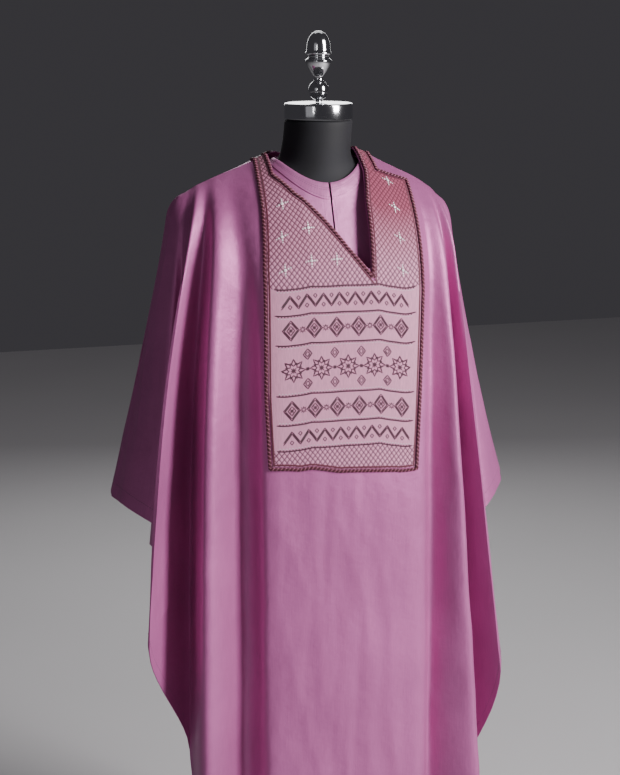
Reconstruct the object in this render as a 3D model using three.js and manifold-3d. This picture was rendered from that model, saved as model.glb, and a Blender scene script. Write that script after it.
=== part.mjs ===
// An agbada on a limbless dress form: a wide open-sided robe with an embroidered front panel, worn over the
// round-necked kaftan of the same cloth. Millimetres, +Z up, the front faces -Y, +X is the wearer's left.
// The origin is the middle of the stand's underside, on the floor.
import * as THREE from "three";
import { mergeVertices } from "three/addons/utils/BufferGeometryUtils.js";
import Module from "manifold-3d";

const wasm = await Module();
wasm.setup();

// ---------------------------------------------------------------- driving dimensions
const CLOTH = 1.6; // wall of the robe and the kaftan
const GAP = 0.3; // between pieces that lie on each other
const SEAM = 0.45; // from the shoulder seam's plane to each piece's edge
const PANEL_WALL = 1.2;
const CORD_WIDTH = 7; // corded piping on the panel's and the neck's edge
const CORD_HEIGHT = 4;
const FOLD_DEPTH = 500; // how far down the cloth the fold tables are measured
const TIP_RIGHT = 240; // ends of the shoulder line, from the centre plane
const TIP_LEFT = 217;
const KAFTAN_HEM = 470; // its height above the floor
const SLIT_WIDTH = 3; // of the kaftan's neck
const SLIT_LENGTH = 160;
const SLIT_PLACE = -3; // its x
const BAND_WIDTH = 18; // kaftan's neck band
const BAND_WALL = 1;

// The robe's shoulder line: its height on the wearer's right and left at each distance from the centre plane.
const SHOULDER_LINE = [
  { x: 0, right: 1514, left: 1514 },
  { x: 60, right: 1513, left: 1512 },
  { x: 90, right: 1504, left: 1500 },
  { x: 110, right: 1496, left: 1489 },
  { x: 148, right: 1481, left: 1471 },
  { x: 170, right: 1473, left: 1461 },
  { x: 186, right: 1467, left: 1452 },
  { x: 205, right: 1459, left: 1439 },
  { x: TIP_LEFT, right: 1454, left: 1423 },
  { x: TIP_RIGHT, right: 1440, left: 1400 },
];

// The robe's folds, from the centre out to the sleeve's top fold. `line` is where a fold leaves the shoulder line;
// `yoke` is the cloth that lies nearly level there; `capOut` and `capFwd` are its place where it leaves the body;
// `out` and `fwd` its place FOLD_DEPTH down the cloth; `late` is how much of its spread comes evenly to the hem and
// not mostly at the hip; `length` is the cloth from the shoulder to the hem. Out is away from the centre plane, fwd
// is towards the front.
const FRONT_RIGHT = [
  { fold: "centre", line: 0, yoke: 0, capOut: 0, capFwd: 138, out: 0, fwd: 160, late: 0, length: 1290 },
  { fold: "beside_centre", line: 70, yoke: 0, capOut: 70, capFwd: 136, out: 70, fwd: 158, late: 0, length: 1290 },
  { fold: "panel_crest", line: 136, yoke: 0, capOut: 138, capFwd: 124, out: 138, fwd: 148, late: 0, length: 1290 },
  { fold: "panel_valley", line: 166, yoke: 0, capOut: 172, capFwd: 110, out: 168, fwd: 110, late: 0, length: 1300 },
  { fold: "third_crest", line: 188, yoke: 0, capOut: 202, capFwd: 90, out: 240, fwd: 142, late: 0, length: 1330 },
  { fold: "third_valley", line: 202, yoke: 0, capOut: 218, capFwd: 76, out: 244, fwd: 44, late: 0, length: 1040 },
  { fold: "second_crest", line: 213, yoke: 0, capOut: 234, capFwd: 68, out: 318, fwd: 132, late: 0.15, length: 826 },
  { fold: "tuck_front", line: 221, yoke: 0, capOut: 244, capFwd: 58, out: 276, fwd: 74, late: 0, length: 720 },
  { fold: "tuck_back", line: 228, yoke: 0, capOut: 250, capFwd: 46, out: 262, fwd: 30, late: 0, length: 650 },
  { fold: "sleeve_valley", line: 233, yoke: 0, capOut: 256, capFwd: 32, out: 300, fwd: 56, late: 0.6, length: 590 },
  { fold: "sleeve_face", line: 238, yoke: 0, capOut: 260, capFwd: 16, out: 340, fwd: 6, late: 1, length: 562 },
  { fold: "sleeve_top", line: TIP_RIGHT, yoke: 0, capOut: 262, capFwd: 0, out: 353, fwd: -44, late: 1, length: 559 },
];
const FRONT_LEFT = [
  { fold: "centre", line: 0, yoke: 0, capOut: 0, capFwd: 138, out: 0, fwd: 160, late: 0, length: 1290 },
  { fold: "beside_centre", line: 70, yoke: 0, capOut: 70, capFwd: 136, out: 70, fwd: 158, late: 0, length: 1290 },
  { fold: "panel_crest", line: 144, yoke: 0, capOut: 144, capFwd: 122, out: 144, fwd: 148, late: 0, length: 1290 },
  { fold: "panel_valley", line: 166, yoke: 0, capOut: 168, capFwd: 108, out: 172, fwd: 116, late: 0, length: 1300 },
  { fold: "third_crest", line: 182, yoke: 0, capOut: 190, capFwd: 90, out: 214, fwd: 142, late: 1, length: 1330 },
  { fold: "third_valley", line: 192, yoke: 0, capOut: 202, capFwd: 78, out: 226, fwd: 54, late: 0.5, length: 1180 },
  { fold: "second_crest", line: 199, yoke: 0, capOut: 214, capFwd: 68, out: 258, fwd: 122, late: 1, length: 915 },
  { fold: "tuck_front", line: 205, yoke: 0, capOut: 222, capFwd: 56, out: 250, fwd: 68, late: 0.5, length: 748 },
  { fold: "tuck_back", line: 209, yoke: 0, capOut: 227, capFwd: 44, out: 246, fwd: 32, late: 0.5, length: 660 },
  { fold: "sleeve_valley", line: 212, yoke: 0, capOut: 231, capFwd: 28, out: 288, fwd: 58, late: 0.8, length: 590 },
  { fold: "sleeve_face", line: 215, yoke: 0, capOut: 233, capFwd: 14, out: 330, fwd: 12, late: 1, length: 562 },
  { fold: "sleeve_top", line: TIP_LEFT, yoke: 0, capOut: 234, capFwd: 0, out: 354, fwd: -44, late: 1, length: 556 },
];
const BACK_RIGHT = [
  { fold: "centre", line: 0, yoke: 78, capOut: 0, capFwd: -124, out: 0, fwd: -132, late: 0, length: 1290 },
  { fold: "back_ripple", line: 64, yoke: 62, capOut: 64, capFwd: -124, out: 56, fwd: -150, late: 0, length: 1290 },
  { fold: "back_dip", line: 124, yoke: 30, capOut: 126, capFwd: -116, out: 112, fwd: -126, late: 0, length: 1290 },
  { fold: "back_crest", line: 162, yoke: 8, capOut: 166, capFwd: -104, out: 156, fwd: -152, late: 0, length: 1300 },
  { fold: "third_valley", line: 188, yoke: 0, capOut: 200, capFwd: -86, out: 194, fwd: -86, late: 0, length: 1340 },
  { fold: "third_crest", line: 204, yoke: 0, capOut: 216, capFwd: -72, out: 202, fwd: -138, late: 0, length: 1180 },
  { fold: "second_valley", line: 216, yoke: 0, capOut: 232, capFwd: -60, out: 226, fwd: -72, late: 0, length: 900 },
  { fold: "second_crest", line: 226, yoke: 0, capOut: 247, capFwd: -46, out: 240, fwd: -138, late: 0, length: 720 },
  { fold: "sleeve_valley", line: 232, yoke: 0, capOut: 256, capFwd: -30, out: 258, fwd: -92, late: 0, length: 610 },
  { fold: "sleeve_face", line: 237, yoke: 0, capOut: 261, capFwd: -14, out: 338, fwd: -80, late: 1, length: 562 },
  { fold: "sleeve_top", line: TIP_RIGHT, yoke: 0, capOut: 262, capFwd: 0, out: 353, fwd: -44, late: 1, length: 559 },
];
const BACK_LEFT = [
  { fold: "centre", line: 0, yoke: 78, capOut: 0, capFwd: -124, out: 0, fwd: -132, late: 0, length: 1290 },
  { fold: "back_ripple", line: 56, yoke: 64, capOut: 56, capFwd: -124, out: 52, fwd: -146, late: 0, length: 1290 },
  { fold: "back_dip", line: 112, yoke: 36, capOut: 114, capFwd: -116, out: 110, fwd: -126, late: 0, length: 1290 },
  { fold: "back_crest", line: 152, yoke: 12, capOut: 154, capFwd: -104, out: 158, fwd: -154, late: 0, length: 1300 },
  { fold: "third_valley", line: 176, yoke: 0, capOut: 184, capFwd: -90, out: 194, fwd: -88, late: 0, length: 1340 },
  { fold: "third_crest", line: 190, yoke: 0, capOut: 198, capFwd: -74, out: 218, fwd: -148, late: 0, length: 1180 },
  { fold: "second_valley", line: 200, yoke: 0, capOut: 212, capFwd: -60, out: 220, fwd: -72, late: 0, length: 900 },
  { fold: "second_crest", line: 207, yoke: 0, capOut: 223, capFwd: -46, out: 246, fwd: -146, late: 0, length: 740 },
  { fold: "sleeve_valley", line: 212, yoke: 0, capOut: 230, capFwd: -28, out: 264, fwd: -96, late: 0, length: 610 },
  { fold: "sleeve_face", line: 215, yoke: 0, capOut: 233, capFwd: -13, out: 336, fwd: -82, late: 1, length: 562 },
  { fold: "sleeve_top", line: TIP_LEFT, yoke: 0, capOut: 234, capFwd: 0, out: 354, fwd: -44, late: 1, length: 556 },
];

// Cuts on the flat front, in order round the edge: x from the centre, s down the cloth from the shoulder line.
const NECK_CUT = [
  { x: -92, s: 0 },
  { x: -93, s: 56 },
  { x: -65, s: 110 },
  { x: -19, s: 170 },
  { x: 11, s: 213 },
  { x: 47, s: 256 },
  { x: 50, s: 186 },
  { x: 52, s: 131 },
  { x: 63, s: 65 },
  { x: 62, s: 0 },
];
const PANEL_EDGE = [
  { x: 84, s: 0 },
  { x: 87, s: 54 },
  { x: 146, s: 37 },
  { x: 144, s: 84 },
  { x: 142, s: 162 },
  { x: 140, s: 248 },
  { x: 132, s: 442 },
  { x: 126, s: 564 },
  { x: 96, s: 581 },
  { x: 60, s: 594 },
  { x: -12, s: 592 },
  { x: -82, s: 576 },
  { x: -126, s: 553 },
  { x: -130, s: 434 },
  { x: -128, s: 218 },
  { x: -120, s: 118 },
  { x: -116, s: 46 },
  { x: -111, s: 0 },
];
const BACK_NECK_DROP = 80; // of the robe's neck at the centre back, along the cloth
const BACK_BAND = 25; // embroidered band round the back neck

// Rings of the dress form from the neck down: how far its middle lies to the wearer's left, half width, depth to
// the front and to the back, and the height of the ring at its sides, front and back.
const FORM_RINGS = [
  { aside: 0, wide: 60, front: 60, back: 57, side: 1562, fore: 1562, aft: 1562, square: 2 },
  { aside: -3, wide: 60, front: 60, back: 58, side: 1530, fore: 1520, aft: 1536, square: 2 },
  { aside: -6, wide: 64, front: 61, back: 59, side: 1500.2, fore: 1476.2, aft: 1497.2, square: 2 },
  { aside: -4, wide: 82, front: 71, back: 68, side: 1486.5, fore: 1447.5, aft: 1477.5, square: 2 },
  { aside: -6, wide: 121, front: 86, back: 82, side: 1462.5, fore: 1408.5, aft: 1438.5, square: 2.1 },
  { aside: -8, wide: 160, front: 100, back: 93, side: 1440.5, fore: 1373.5, aft: 1400.5, square: 2.2 },
  { aside: -8, wide: 191, front: 111, back: 101, side: 1413.5, fore: 1340.5, aft: 1377.5, square: 2.3 },
  { aside: -8, wide: 204, front: 119, back: 108, side: 1387.5, fore: 1311.5, aft: 1345.5, square: 2.3 },
  { aside: -8, wide: 202, front: 125, back: 111, side: 1336.5, fore: 1276.5, aft: 1306.5, square: 2.3 },
  { aside: -8, wide: 188, front: 122, back: 107, side: 1266.5, fore: 1230.5, aft: 1246.5, square: 2.3 },
  { aside: -8, wide: 170, front: 113, back: 101, side: 1178.5, fore: 1158.5, aft: 1168.5, square: 2.2 },
  { aside: -8, wide: 162, front: 108, back: 98, side: 1095.5, fore: 1085.5, aft: 1090.5, square: 2.2 },
  { aside: -8, wide: 168, front: 112, back: 104, side: 1010.5, fore: 1005.5, aft: 1005.5, square: 2.2 },
  { aside: -8, wide: 176, front: 114, back: 110, side: 920.5, fore: 918.5, aft: 918.5, square: 2.2 },
  { aside: -8, wide: 172, front: 110, back: 106, side: 850.5, fore: 850.5, aft: 850.5, square: 2.2 },
  { aside: -8, wide: 150, front: 92, back: 90, side: 828.5, fore: 828.5, aft: 828.5, square: 2.2 },
];
// Rings of the kaftan from its neck down.
const KAFTAN_RINGS = [
  { aside: -4, wide: 74, front: 71, back: 67, side: 1496, fore: 1459, aft: 1493, square: 2 },
  { aside: -5, wide: 90, front: 80, back: 77, side: 1485, fore: 1441, aft: 1476, square: 2 },
  { aside: -6, wide: 127, front: 94, back: 90, side: 1461, fore: 1407, aft: 1437, square: 2.1 },
  { aside: -8, wide: 167, front: 108, back: 101, side: 1439, fore: 1372, aft: 1399, square: 2.2 },
  { aside: -8, wide: 199, front: 119, back: 109, side: 1412, fore: 1339, aft: 1376, square: 2.3 },
  { aside: -8, wide: 212, front: 127, back: 116, side: 1382, fore: 1307, aft: 1341, square: 2.3 },
  { aside: -8, wide: 212, front: 133, back: 120, side: 1322, fore: 1270, aft: 1292, square: 2.3 },
  { aside: -8, wide: 206, front: 136, back: 121, side: 1222, fore: 1202, aft: 1212, square: 2.2 },
  { aside: -8, wide: 204, front: 138, back: 122, side: 1062, fore: 1052, aft: 1052, square: 2.2 },
  { aside: -8, wide: 206, front: 140, back: 124, side: 862, fore: 862, aft: 862, square: 2.2 },
  { aside: -8, wide: 210, front: 142, back: 126, side: 662, fore: 662, aft: 662, square: 2.2 },
  { aside: -8, wide: 214, front: 144, back: 128, side: KAFTAN_HEM, fore: KAFTAN_HEM, aft: KAFTAN_HEM, square: 2.2 },
];
// Armhole of the kaftan's sleeve, and the sections of the empty hanging sleeve below it: how far out its middle is
// on the wearer's right and left, half sizes across and fore-and-aft, and the tilt of the section from upright at the
// armhole to level at the cuff.
const ARMHOLE = { z: 1378, tall: 34, fore: 42 };
const SLEEVE_SECTIONS = [
  { right: 239, left: 221, fwd: 0, z: 1357, across: 17, fore: 40, tilt: 40 },
  { right: 243, left: 222, fwd: -1, z: 1338, across: 14, fore: 40, tilt: 75 },
  { right: 247, left: 228, fwd: -4, z: 1292, across: 12, fore: 41, tilt: 90 },
  { right: 254, left: 242, fwd: -13, z: 1192, across: 14, fore: 41, tilt: 90 },
  { right: 264, left: 254, fwd: -24, z: 1062, across: 17, fore: 40, tilt: 90 },
  { right: 272, left: 263, fwd: -33, z: 932, across: 20, fore: 40, tilt: 90 },
  { right: 279, left: 270, fwd: -38, z: 812, across: 22, fore: 38, tilt: 90 },
];

// Turned pieces, as [radius, height] from the axis round and back to it; each stands on the one below it.
const BASE_PROFILE = [[0, 0], [180, 0], [180, 7], [174, 12], [120, 17], [40, 21], [26, 25], [0, 25]];
const CAP_PROFILE = [[0, 0], [58, 0], [59.6, 2], [59.6, 25.5], [57.5, 28], [14, 29], [0, 29]];
const FINIAL_PROFILE = [
  [0, 0], [5.5, 0], [5.5, 3], [10, 6], [15, 11.5], [17.5, 20.5], [15.5, 29], [10, 35], [8, 39], [8.5, 44], [12, 49],
  [16, 55], [20.5, 63], [22.5, 69], [22, 72], [18, 75.5], [17.5, 78], [22.3, 82], [22.3, 85], [20.5, 88], [20, 97],
  [17.5, 107], [12.5, 115], [6, 120], [0, 121],
];
const POLE_RADIUS = 16;

// ---------------------------------------------------------------- materials
function material(color, roughness, metalness = 0) {
  return new THREE.MeshStandardMaterial({ color, roughness, metalness });
}
const robeCloth = material(0xb9679b, 0.42);
const kaftanCloth = material(0xc07aa8, 0.45);
const panelCloth = material(0xc58fae, 0.7);
const cordThread = material(0x5a1a35, 0.6);
const formCover = material(0x1b1c21, 0.8);
const chrome = material(0xd8dbe0, 0.1, 1);
const standPaint = material(0x16171a, 0.4, 0.3);

// ---------------------------------------------------------------- curves through tables
// Catmull-Rom value of one column of a table at row position v.
function tableValue(rows, key, v) {
  const i = Math.min(rows.length - 2, Math.max(0, Math.floor(v)));
  const t = v - i;
  const b = rows[i][key];
  const c = rows[i + 1][key];
  const a = i > 0 ? rows[i - 1][key] : 2 * b - c;
  const d = i + 2 < rows.length ? rows[i + 2][key] : 2 * c - b;
  return b + 0.5 * t * (c - a + t * (2 * a - 5 * b + 4 * c - d + t * (3 * (b - c) + d - a)));
}

function shoulderHeight(x, side) {
  const i = Math.max(1, SHOULDER_LINE.findIndex((p) => p.x >= x));
  const a = SHOULDER_LINE[i - 1];
  const b = SHOULDER_LINE[i];
  return a[side] + ((b[side] - a[side]) * (x - a.x)) / (b.x - a.x);
}

// How far the cloth has come from the shoulder line, s down it, towards the place `reach` away where it leaves the
// body: nearly level over the yoke, then ever steeper.
const YOKE_SLOPE = 0.99;
function overBody(s, reach, yoke) {
  if (s < yoke) return YOKE_SLOPE * s;
  const rest = Math.max(0, reach - YOKE_SLOPE * yoke);
  const slope = 0.93 - Math.min(0.38, yoke / 190);
  const t = Math.min(1, ((s - yoke) * slope) / Math.max(30, 2 * rest));
  return YOKE_SLOPE * yoke + rest * (1 - (1 - t) ** 2);
}

// Shares of a fold's spread below the body: mostly at the hip, or evenly to the hem.
const FLARE_SOFTNESS = 0.445;
const hipFlare = (t) => ((1 + FLARE_SOFTNESS) * t * t) / (FLARE_SOFTNESS + t * t);
const evenFlare = (t) => t ** 1.2;

// The column of cloth at row position v of a fold table: its length, and its point s down from the shoulder line.
function columnAt(rows, v) {
  const at = (key) => tableValue(rows, key, v);
  const line = at("line");
  const yoke = Math.max(0, at("yoke"));
  const late = at("late");
  const cap = [at("capOut") - line, at("capFwd")];
  const reach = Math.hypot(...cap);
  const spread = [at("out") - at("capOut"), at("fwd") - at("capFwd")];
  const level = (s) => {
    const e = overBody(s, reach, yoke) / reach;
    const hip = hipFlare(s / FOLD_DEPTH);
    const sideways = hip + late * (evenFlare(s / FOLD_DEPTH) - hip);
    return [line + cap[0] * e + spread[0] * sideways, cap[1] * e + spread[1] * hip];
  };
  const STEP = 6;
  const point = (s) => {
    const steps = Math.max(1, Math.ceil(s / STEP));
    let z = shoulderHeight(line, rows === FRONT_LEFT || rows === BACK_LEFT ? "left" : "right");
    let last = level(0);
    for (let k = 1; k <= steps; k++) {
      const next = level((s * k) / steps);
      const run = Math.hypot(next[0] - last[0], next[1] - last[1]);
      z -= Math.sqrt(Math.max(0.02 * (s / steps) ** 2, (s / steps) ** 2 - run ** 2));
      last = next;
    }
    return { out: last[0], fwd: last[1], z };
  };
  return { length: at("length"), point };
}

// The row position whose fold leaves the shoulder line at distance x.
function rowAtLine(rows, x) {
  let low = 0;
  let high = rows.length - 1;
  for (let k = 0; k < 40; k++) {
    const middle = (low + high) / 2;
    if (tableValue(rows, "line", middle) < x) low = middle;
    else high = middle;
  }
  return low;
}

// ---------------------------------------------------------------- walls
// A closed wall from a grid of points: `grid[row][column]` is its middle surface, `ring` closes the columns.
// `inside` and `outside` are how far its two faces lie from that surface, along the normals.
function wall(grid, inside, outside, ring = false) {
  const rows = grid.length;
  const cols = grid[0].length;
  const normals = surfaceNormals(grid, ring);
  const vertices = [];
  for (const away of [outside, inside])
    for (let i = 0; i < rows; i++)
      for (let j = 0; j < cols; j++)
        vertices.push(...grid[i][j].clone().addScaledVector(normals[i][j], away).toArray());
  const index = [];
  const at = (side, i, j) => (side * rows + i) * cols + (j % cols);
  const quad = (a, b, c, d) => index.push(a, b, c, a, c, d);
  const spans = ring ? cols : cols - 1;
  for (let i = 0; i < rows - 1; i++)
    for (let j = 0; j < spans; j++) {
      quad(at(0, i, j), at(0, i + 1, j), at(0, i + 1, j + 1), at(0, i, j + 1));
      quad(at(1, i, j), at(1, i, j + 1), at(1, i + 1, j + 1), at(1, i + 1, j));
    }
  for (let j = 0; j < spans; j++) {
    quad(at(0, 0, j), at(0, 0, j + 1), at(1, 0, j + 1), at(1, 0, j));
    const end = rows - 1;
    quad(at(0, end, j), at(1, end, j), at(1, end, j + 1), at(0, end, j + 1));
  }
  if (!ring)
    for (let i = 0; i < rows - 1; i++) {
      quad(at(0, i, 0), at(1, i, 0), at(1, i + 1, 0), at(0, i + 1, 0));
      const end = cols - 1;
      quad(at(0, i, end), at(0, i + 1, end), at(1, i + 1, end), at(1, i, end));
    }
  return facingOut(vertices, index);
}

function surfaceNormals(grid, ring) {
  const rows = grid.length;
  const cols = grid[0].length;
  return grid.map((line, i) =>
    line.map((_, j) => {
      const left = ring ? (j + cols - 1) % cols : Math.max(0, j - 1);
      const right = ring ? (j + 1) % cols : Math.min(cols - 1, j + 1);
      const along = grid[i][right].clone().sub(grid[i][left]);
      const down = grid[Math.min(rows - 1, i + 1)][j].clone().sub(grid[Math.max(0, i - 1)][j]);
      return along.cross(down).normalize().negate();
    }),
  );
}

// A geometry whose faces point outwards, whichever way round its triangles were given.
function facingOut(vertices, index) {
  const corner = (k) => new THREE.Vector3(...vertices.slice(3 * index[k], 3 * index[k] + 3));
  let volume = 0;
  for (let k = 0; k < index.length; k += 3) volume += corner(k).dot(corner(k + 1).cross(corner(k + 2)));
  if (volume < 0) for (let k = 0; k < index.length; k += 3) [index[k], index[k + 1]] = [index[k + 1], index[k]];
  const geometry = new THREE.BufferGeometry();
  geometry.setAttribute("position", new THREE.Float32BufferAttribute(vertices, 3));
  geometry.setIndex(index);
  return geometry;
}

function solidOf(geometry) {
  const bare = geometry.clone();
  bare.deleteAttribute("normal");
  bare.deleteAttribute("uv");
  const merged = mergeVertices(bare, 1e-4);
  const vertProperties = new Float32Array(merged.attributes.position.array);
  const triVerts = new Uint32Array(merged.index.array);
  return new wasm.Manifold(new wasm.Mesh({ numProp: 3, vertProperties, triVerts }));
}

function geometryOf(solid) {
  const { vertProperties, triVerts } = solid.getMesh();
  const geometry = new THREE.BufferGeometry();
  geometry.setAttribute("position", new THREE.BufferAttribute(new Float32Array(vertProperties), 3));
  geometry.setIndex(new THREE.BufferAttribute(new Uint32Array(triVerts), 1));
  return geometry;
}

// The largest of a solid's separate bodies, so that a cut leaves no loose crumbs.
function largest(solid) {
  return solid.decompose().sort((a, b) => b.volume() - a.volume())[0];
}

// A prism along Y over an outline of [x, z] points, and one along Z over an outline of [x, y] points.
function prism(outline, fromY, toY) {
  const shape = new THREE.Shape(outline.map(([x, z]) => new THREE.Vector2(x, z)));
  const geometry = new THREE.ExtrudeGeometry(shape, { depth: toY - fromY, bevelEnabled: false });
  geometry.rotateX(Math.PI / 2); // the shape's Y becomes Z, and its depth runs to -Y
  geometry.translate(0, toY, 0);
  return solidOf(geometry);
}

function uprightPrism(outline, fromZ, toZ) {
  const shape = new THREE.Shape(outline.map(([x, y]) => new THREE.Vector2(x, y)));
  const geometry = new THREE.ExtrudeGeometry(shape, { depth: toZ - fromZ, bevelEnabled: false });
  return solidOf(geometry.translate(0, 0, fromZ));
}

function box(sizeX, sizeY, sizeZ, x, y, z) {
  return solidOf(new THREE.BoxGeometry(sizeX, sizeY, sizeZ).translate(x, y, z));
}

// ---------------------------------------------------------------- robe
const COLUMNS_PER_FOLD = 3;
const ROW_SHARES = [0, 0.03, 0.065, 0.1, 0.14, 0.185, 0.235, 0.295, 0.37, 0.45, 0.54, 0.64, 0.76, 0.88, 1];

// A side's columns from the centre out, as row positions of its fold table.
function columnPlaces(rows) {
  const places = [];
  for (let i = 0; i < rows.length - 1; i++) {
    const steps = i < 2 ? 2 : COLUMNS_PER_FOLD;
    for (let k = 0; k < steps; k++) places.push(i + k / steps);
  }
  places.push(rows.length - 1);
  return places;
}

// Points of the robe's middle surface, from the wearer's right to left and from the shoulder down. `towards` is 1
// for the front and -1 for the back; the two keep `seam` from the plane between them.
function robeGrid(right, left, towards, seam) {
  const sideColumns = (rows, side) =>
    columnPlaces(rows).map((v) => ({
      side,
      column: columnAt(rows, v),
      shift: towards * seam * Math.max(0, v - (rows.length - 2)),
    }));
  const columns = [...sideColumns(right, -1).reverse(), ...sideColumns(left, 1).slice(1)];
  return ROW_SHARES.map((share) =>
    columns.map(({ side, column, shift }) => {
      const { out, fwd, z } = column.point(Math.max(seam, share * column.length));
      return new THREE.Vector3(side * out, -fwd - shift, z);
    }),
  );
}

// A point of the middle surface, on its facets, from flat coordinates: x from the centre, s down the cloth from
// the shoulder line. Negative s runs down the back.
function clothPoint(x, s) {
  const [right, left, grid] = s < 0 ? [BACK_RIGHT, BACK_LEFT, backFacets] : [FRONT_RIGHT, FRONT_LEFT, frontFacets];
  const rows = x < 0 ? right : left;
  const v = rowAtLine(rows, Math.abs(x));
  const across = placeBetween(columnPlaces(rows), v);
  const down = placeBetween(ROW_SHARES, Math.abs(s) / tableValue(rows, "length", v));
  const middle = columnPlaces(right).length - 1;
  const corner = (i, j) => grid[down.index + i][middle + (x < 0 ? -1 : 1) * (across.index + j)];
  const top = corner(0, 0).clone().lerp(corner(0, 1), across.share);
  return top.lerp(corner(1, 0).clone().lerp(corner(1, 1), across.share), down.share);
}

// Where a value falls in a rising list: the index below it and its share of the way to the next.
function placeBetween(list, value) {
  const index = Math.max(0, Math.min(list.length - 2, list.findIndex((entry) => entry > value) - 1));
  return { index, share: (value - list[index]) / (list[index + 1] - list[index]) };
}

function clothNormal(x, s) {
  const STEP = 4;
  const across = clothPoint(x + STEP, s).sub(clothPoint(x - STEP, s));
  const down = clothPoint(x, s + STEP).sub(clothPoint(x, s - STEP));
  return down.cross(across).normalize();
}

// Flat edge points with more between them, so that a straight cut follows the curved cloth.
function alongEdge(edge, spacing) {
  const points = [];
  for (let k = 0; k < edge.length - 1; k++) {
    const [a, b] = [edge[k], edge[k + 1]];
    const steps = Math.max(1, Math.round(Math.hypot(b.x - a.x, b.s - a.s) / spacing));
    for (let i = 0; i < steps; i++)
      points.push({ x: a.x + ((b.x - a.x) * i) / steps, s: a.s + ((b.s - a.s) * i) / steps });
  }
  points.push(edge.at(-1));
  return points;
}

// A flat edge moved sideways, to the left of its direction when x points right and s points down.
function movedEdge(edge, distance) {
  const left = (a, b) => {
    const size = Math.hypot(b.x - a.x, b.s - a.s);
    return { x: (b.s - a.s) / size, s: -(b.x - a.x) / size };
  };
  return edge.map((p, k) => {
    const before = left(edge[Math.max(0, k - 1)], edge[Math.max(1, k)]);
    const after = left(edge[Math.min(k, edge.length - 2)], edge[Math.min(k + 1, edge.length - 1)]);
    const share = distance / (1 + before.x * after.x + before.s * after.s);
    return { x: p.x + (before.x + after.x) * share, s: p.s + (before.s + after.s) * share };
  });
}

// An outline across the cloth seen from the front, closed above the shoulders.
const ABOVE_SHOULDERS = 1600;
function openTopOutline(edge) {
  const points = alongEdge(edge, 30).map(({ x, s }) => {
    const p = clothPoint(x, s);
    return [p.x, p.z];
  });
  return [[points[0][0], ABOVE_SHOULDERS], ...points, [points.at(-1)[0], ABOVE_SHOULDERS]];
}

// What an edge on the back takes in, from above, with everything in front of it.
function behindShoulders(edge) {
  const outline = alongEdge(edge, 30).map(({ x, s }) => {
    const p = clothPoint(x, s);
    return [p.x, p.y];
  });
  return uprightPrism([[edge[0].x, -20], ...outline, [edge.at(-1).x, -20]], 1300, ABOVE_SHOULDERS);
}

// The back neck's edge, `drop` down the back at its middle, without its two ends.
function backEdge(fromX, toX, drop) {
  const COUNT = 8;
  const points = [];
  for (let k = 1; k < COUNT; k++) {
    const angle = (Math.PI * k) / COUNT;
    const x = (fromX + toX) / 2 + ((fromX - toX) / 2) * Math.cos(angle);
    points.push({ x, s: -drop * Math.sin(angle) });
  }
  return points;
}

const frontGrid = robeGrid(FRONT_RIGHT, FRONT_LEFT, 1, SEAM);
const backGrid = robeGrid(BACK_RIGHT, BACK_LEFT, -1, SEAM);
const frontFacets = robeGrid(FRONT_RIGHT, FRONT_LEFT, 1, 0);
const backFacets = robeGrid(BACK_RIGHT, BACK_LEFT, -1, 0);
const half = CLOTH / 2;

const frontSide = (outline) => prism(outline, -400, 0);
const shoulderLeft = NECK_CUT[0].x;
const shoulderRight = NECK_CUT.at(-1).x;
const backNeck = [{ x: shoulderRight, s: -0.1 }, ...backEdge(shoulderRight, shoulderLeft, BACK_NECK_DROP)];
backNeck.push({ x: shoulderLeft, s: -0.1 });
const frontOpening = frontSide(openTopOutline(NECK_CUT));
const backOpening = behindShoulders(backNeck);

// The two walls are trimmed back from each other where they meet at the shoulder's tip.
const tipTrim = (towards) => box(600, 40, 90, 0, towards * (20 - GAP / 2), shoulderHeight(TIP_RIGHT, "right"));
const robeFront = solidOf(wall(frontGrid, -half, half)).subtract(frontOpening).subtract(tipTrim(1));
const robeBack = solidOf(wall(backGrid, -half, half)).subtract(backOpening).subtract(tipTrim(-1));

// ---------------------------------------------------------------- cords
// A closed cord lying on the robe, along a flat edge, `grown` on every side.
function cord(edge, grown = 0) {
  const SIDES = 6;
  const places = alongEdge([...edge, edge[0]], 30).slice(0, -1);
  const middle = places.map(({ x, s }) => {
    const normal = clothNormal(x, s);
    return { point: clothPoint(x, s).addScaledVector(normal, lift + CORD_HEIGHT / 2 - 0.6), normal };
  });
  const count = middle.length;
  const rings = middle.map(({ point, normal }, k) => {
    const tangent = middle[(k + 1) % count].point.clone().sub(middle[(k + count - 1) % count].point).normalize();
    const side = tangent.clone().cross(normal).normalize();
    return Array.from({ length: SIDES }, (_, i) => {
      const angle = (2 * Math.PI * (i + 0.5)) / SIDES;
      return point
        .clone()
        .addScaledVector(side, (CORD_WIDTH / 2 + grown) * Math.cos(angle))
        .addScaledVector(normal, (CORD_HEIGHT / 2 + 0.6 + 4 * grown) * Math.sin(angle));
    });
  });
  const vertices = rings.flat().flatMap((p) => p.toArray());
  const index = [];
  for (let k = 0; k < count; k++)
    for (let i = 0; i < SIDES; i++) {
      const next = (k + 1) % count;
      const [a, b] = [k * SIDES + i, k * SIDES + ((i + 1) % SIDES)];
      const [c, d] = [next * SIDES + ((i + 1) % SIDES), next * SIDES + i];
      index.push(a, b, c, a, c, d);
    }
  return solidOf(facingOut(vertices, index));
}

const lift = half + GAP + 0.04; // underside of what lies on the robe, from the cloth's middle
const CORD_STRIP = CORD_WIDTH + 2 * GAP;
const backBandEdge = [
  { x: PANEL_EDGE[0].x, s: -0.1 },
  ...backEdge(PANEL_EDGE[0].x, PANEL_EDGE.at(-1).x, BACK_NECK_DROP + BACK_BAND),
  { x: PANEL_EDGE.at(-1).x, s: -0.1 },
];

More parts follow.
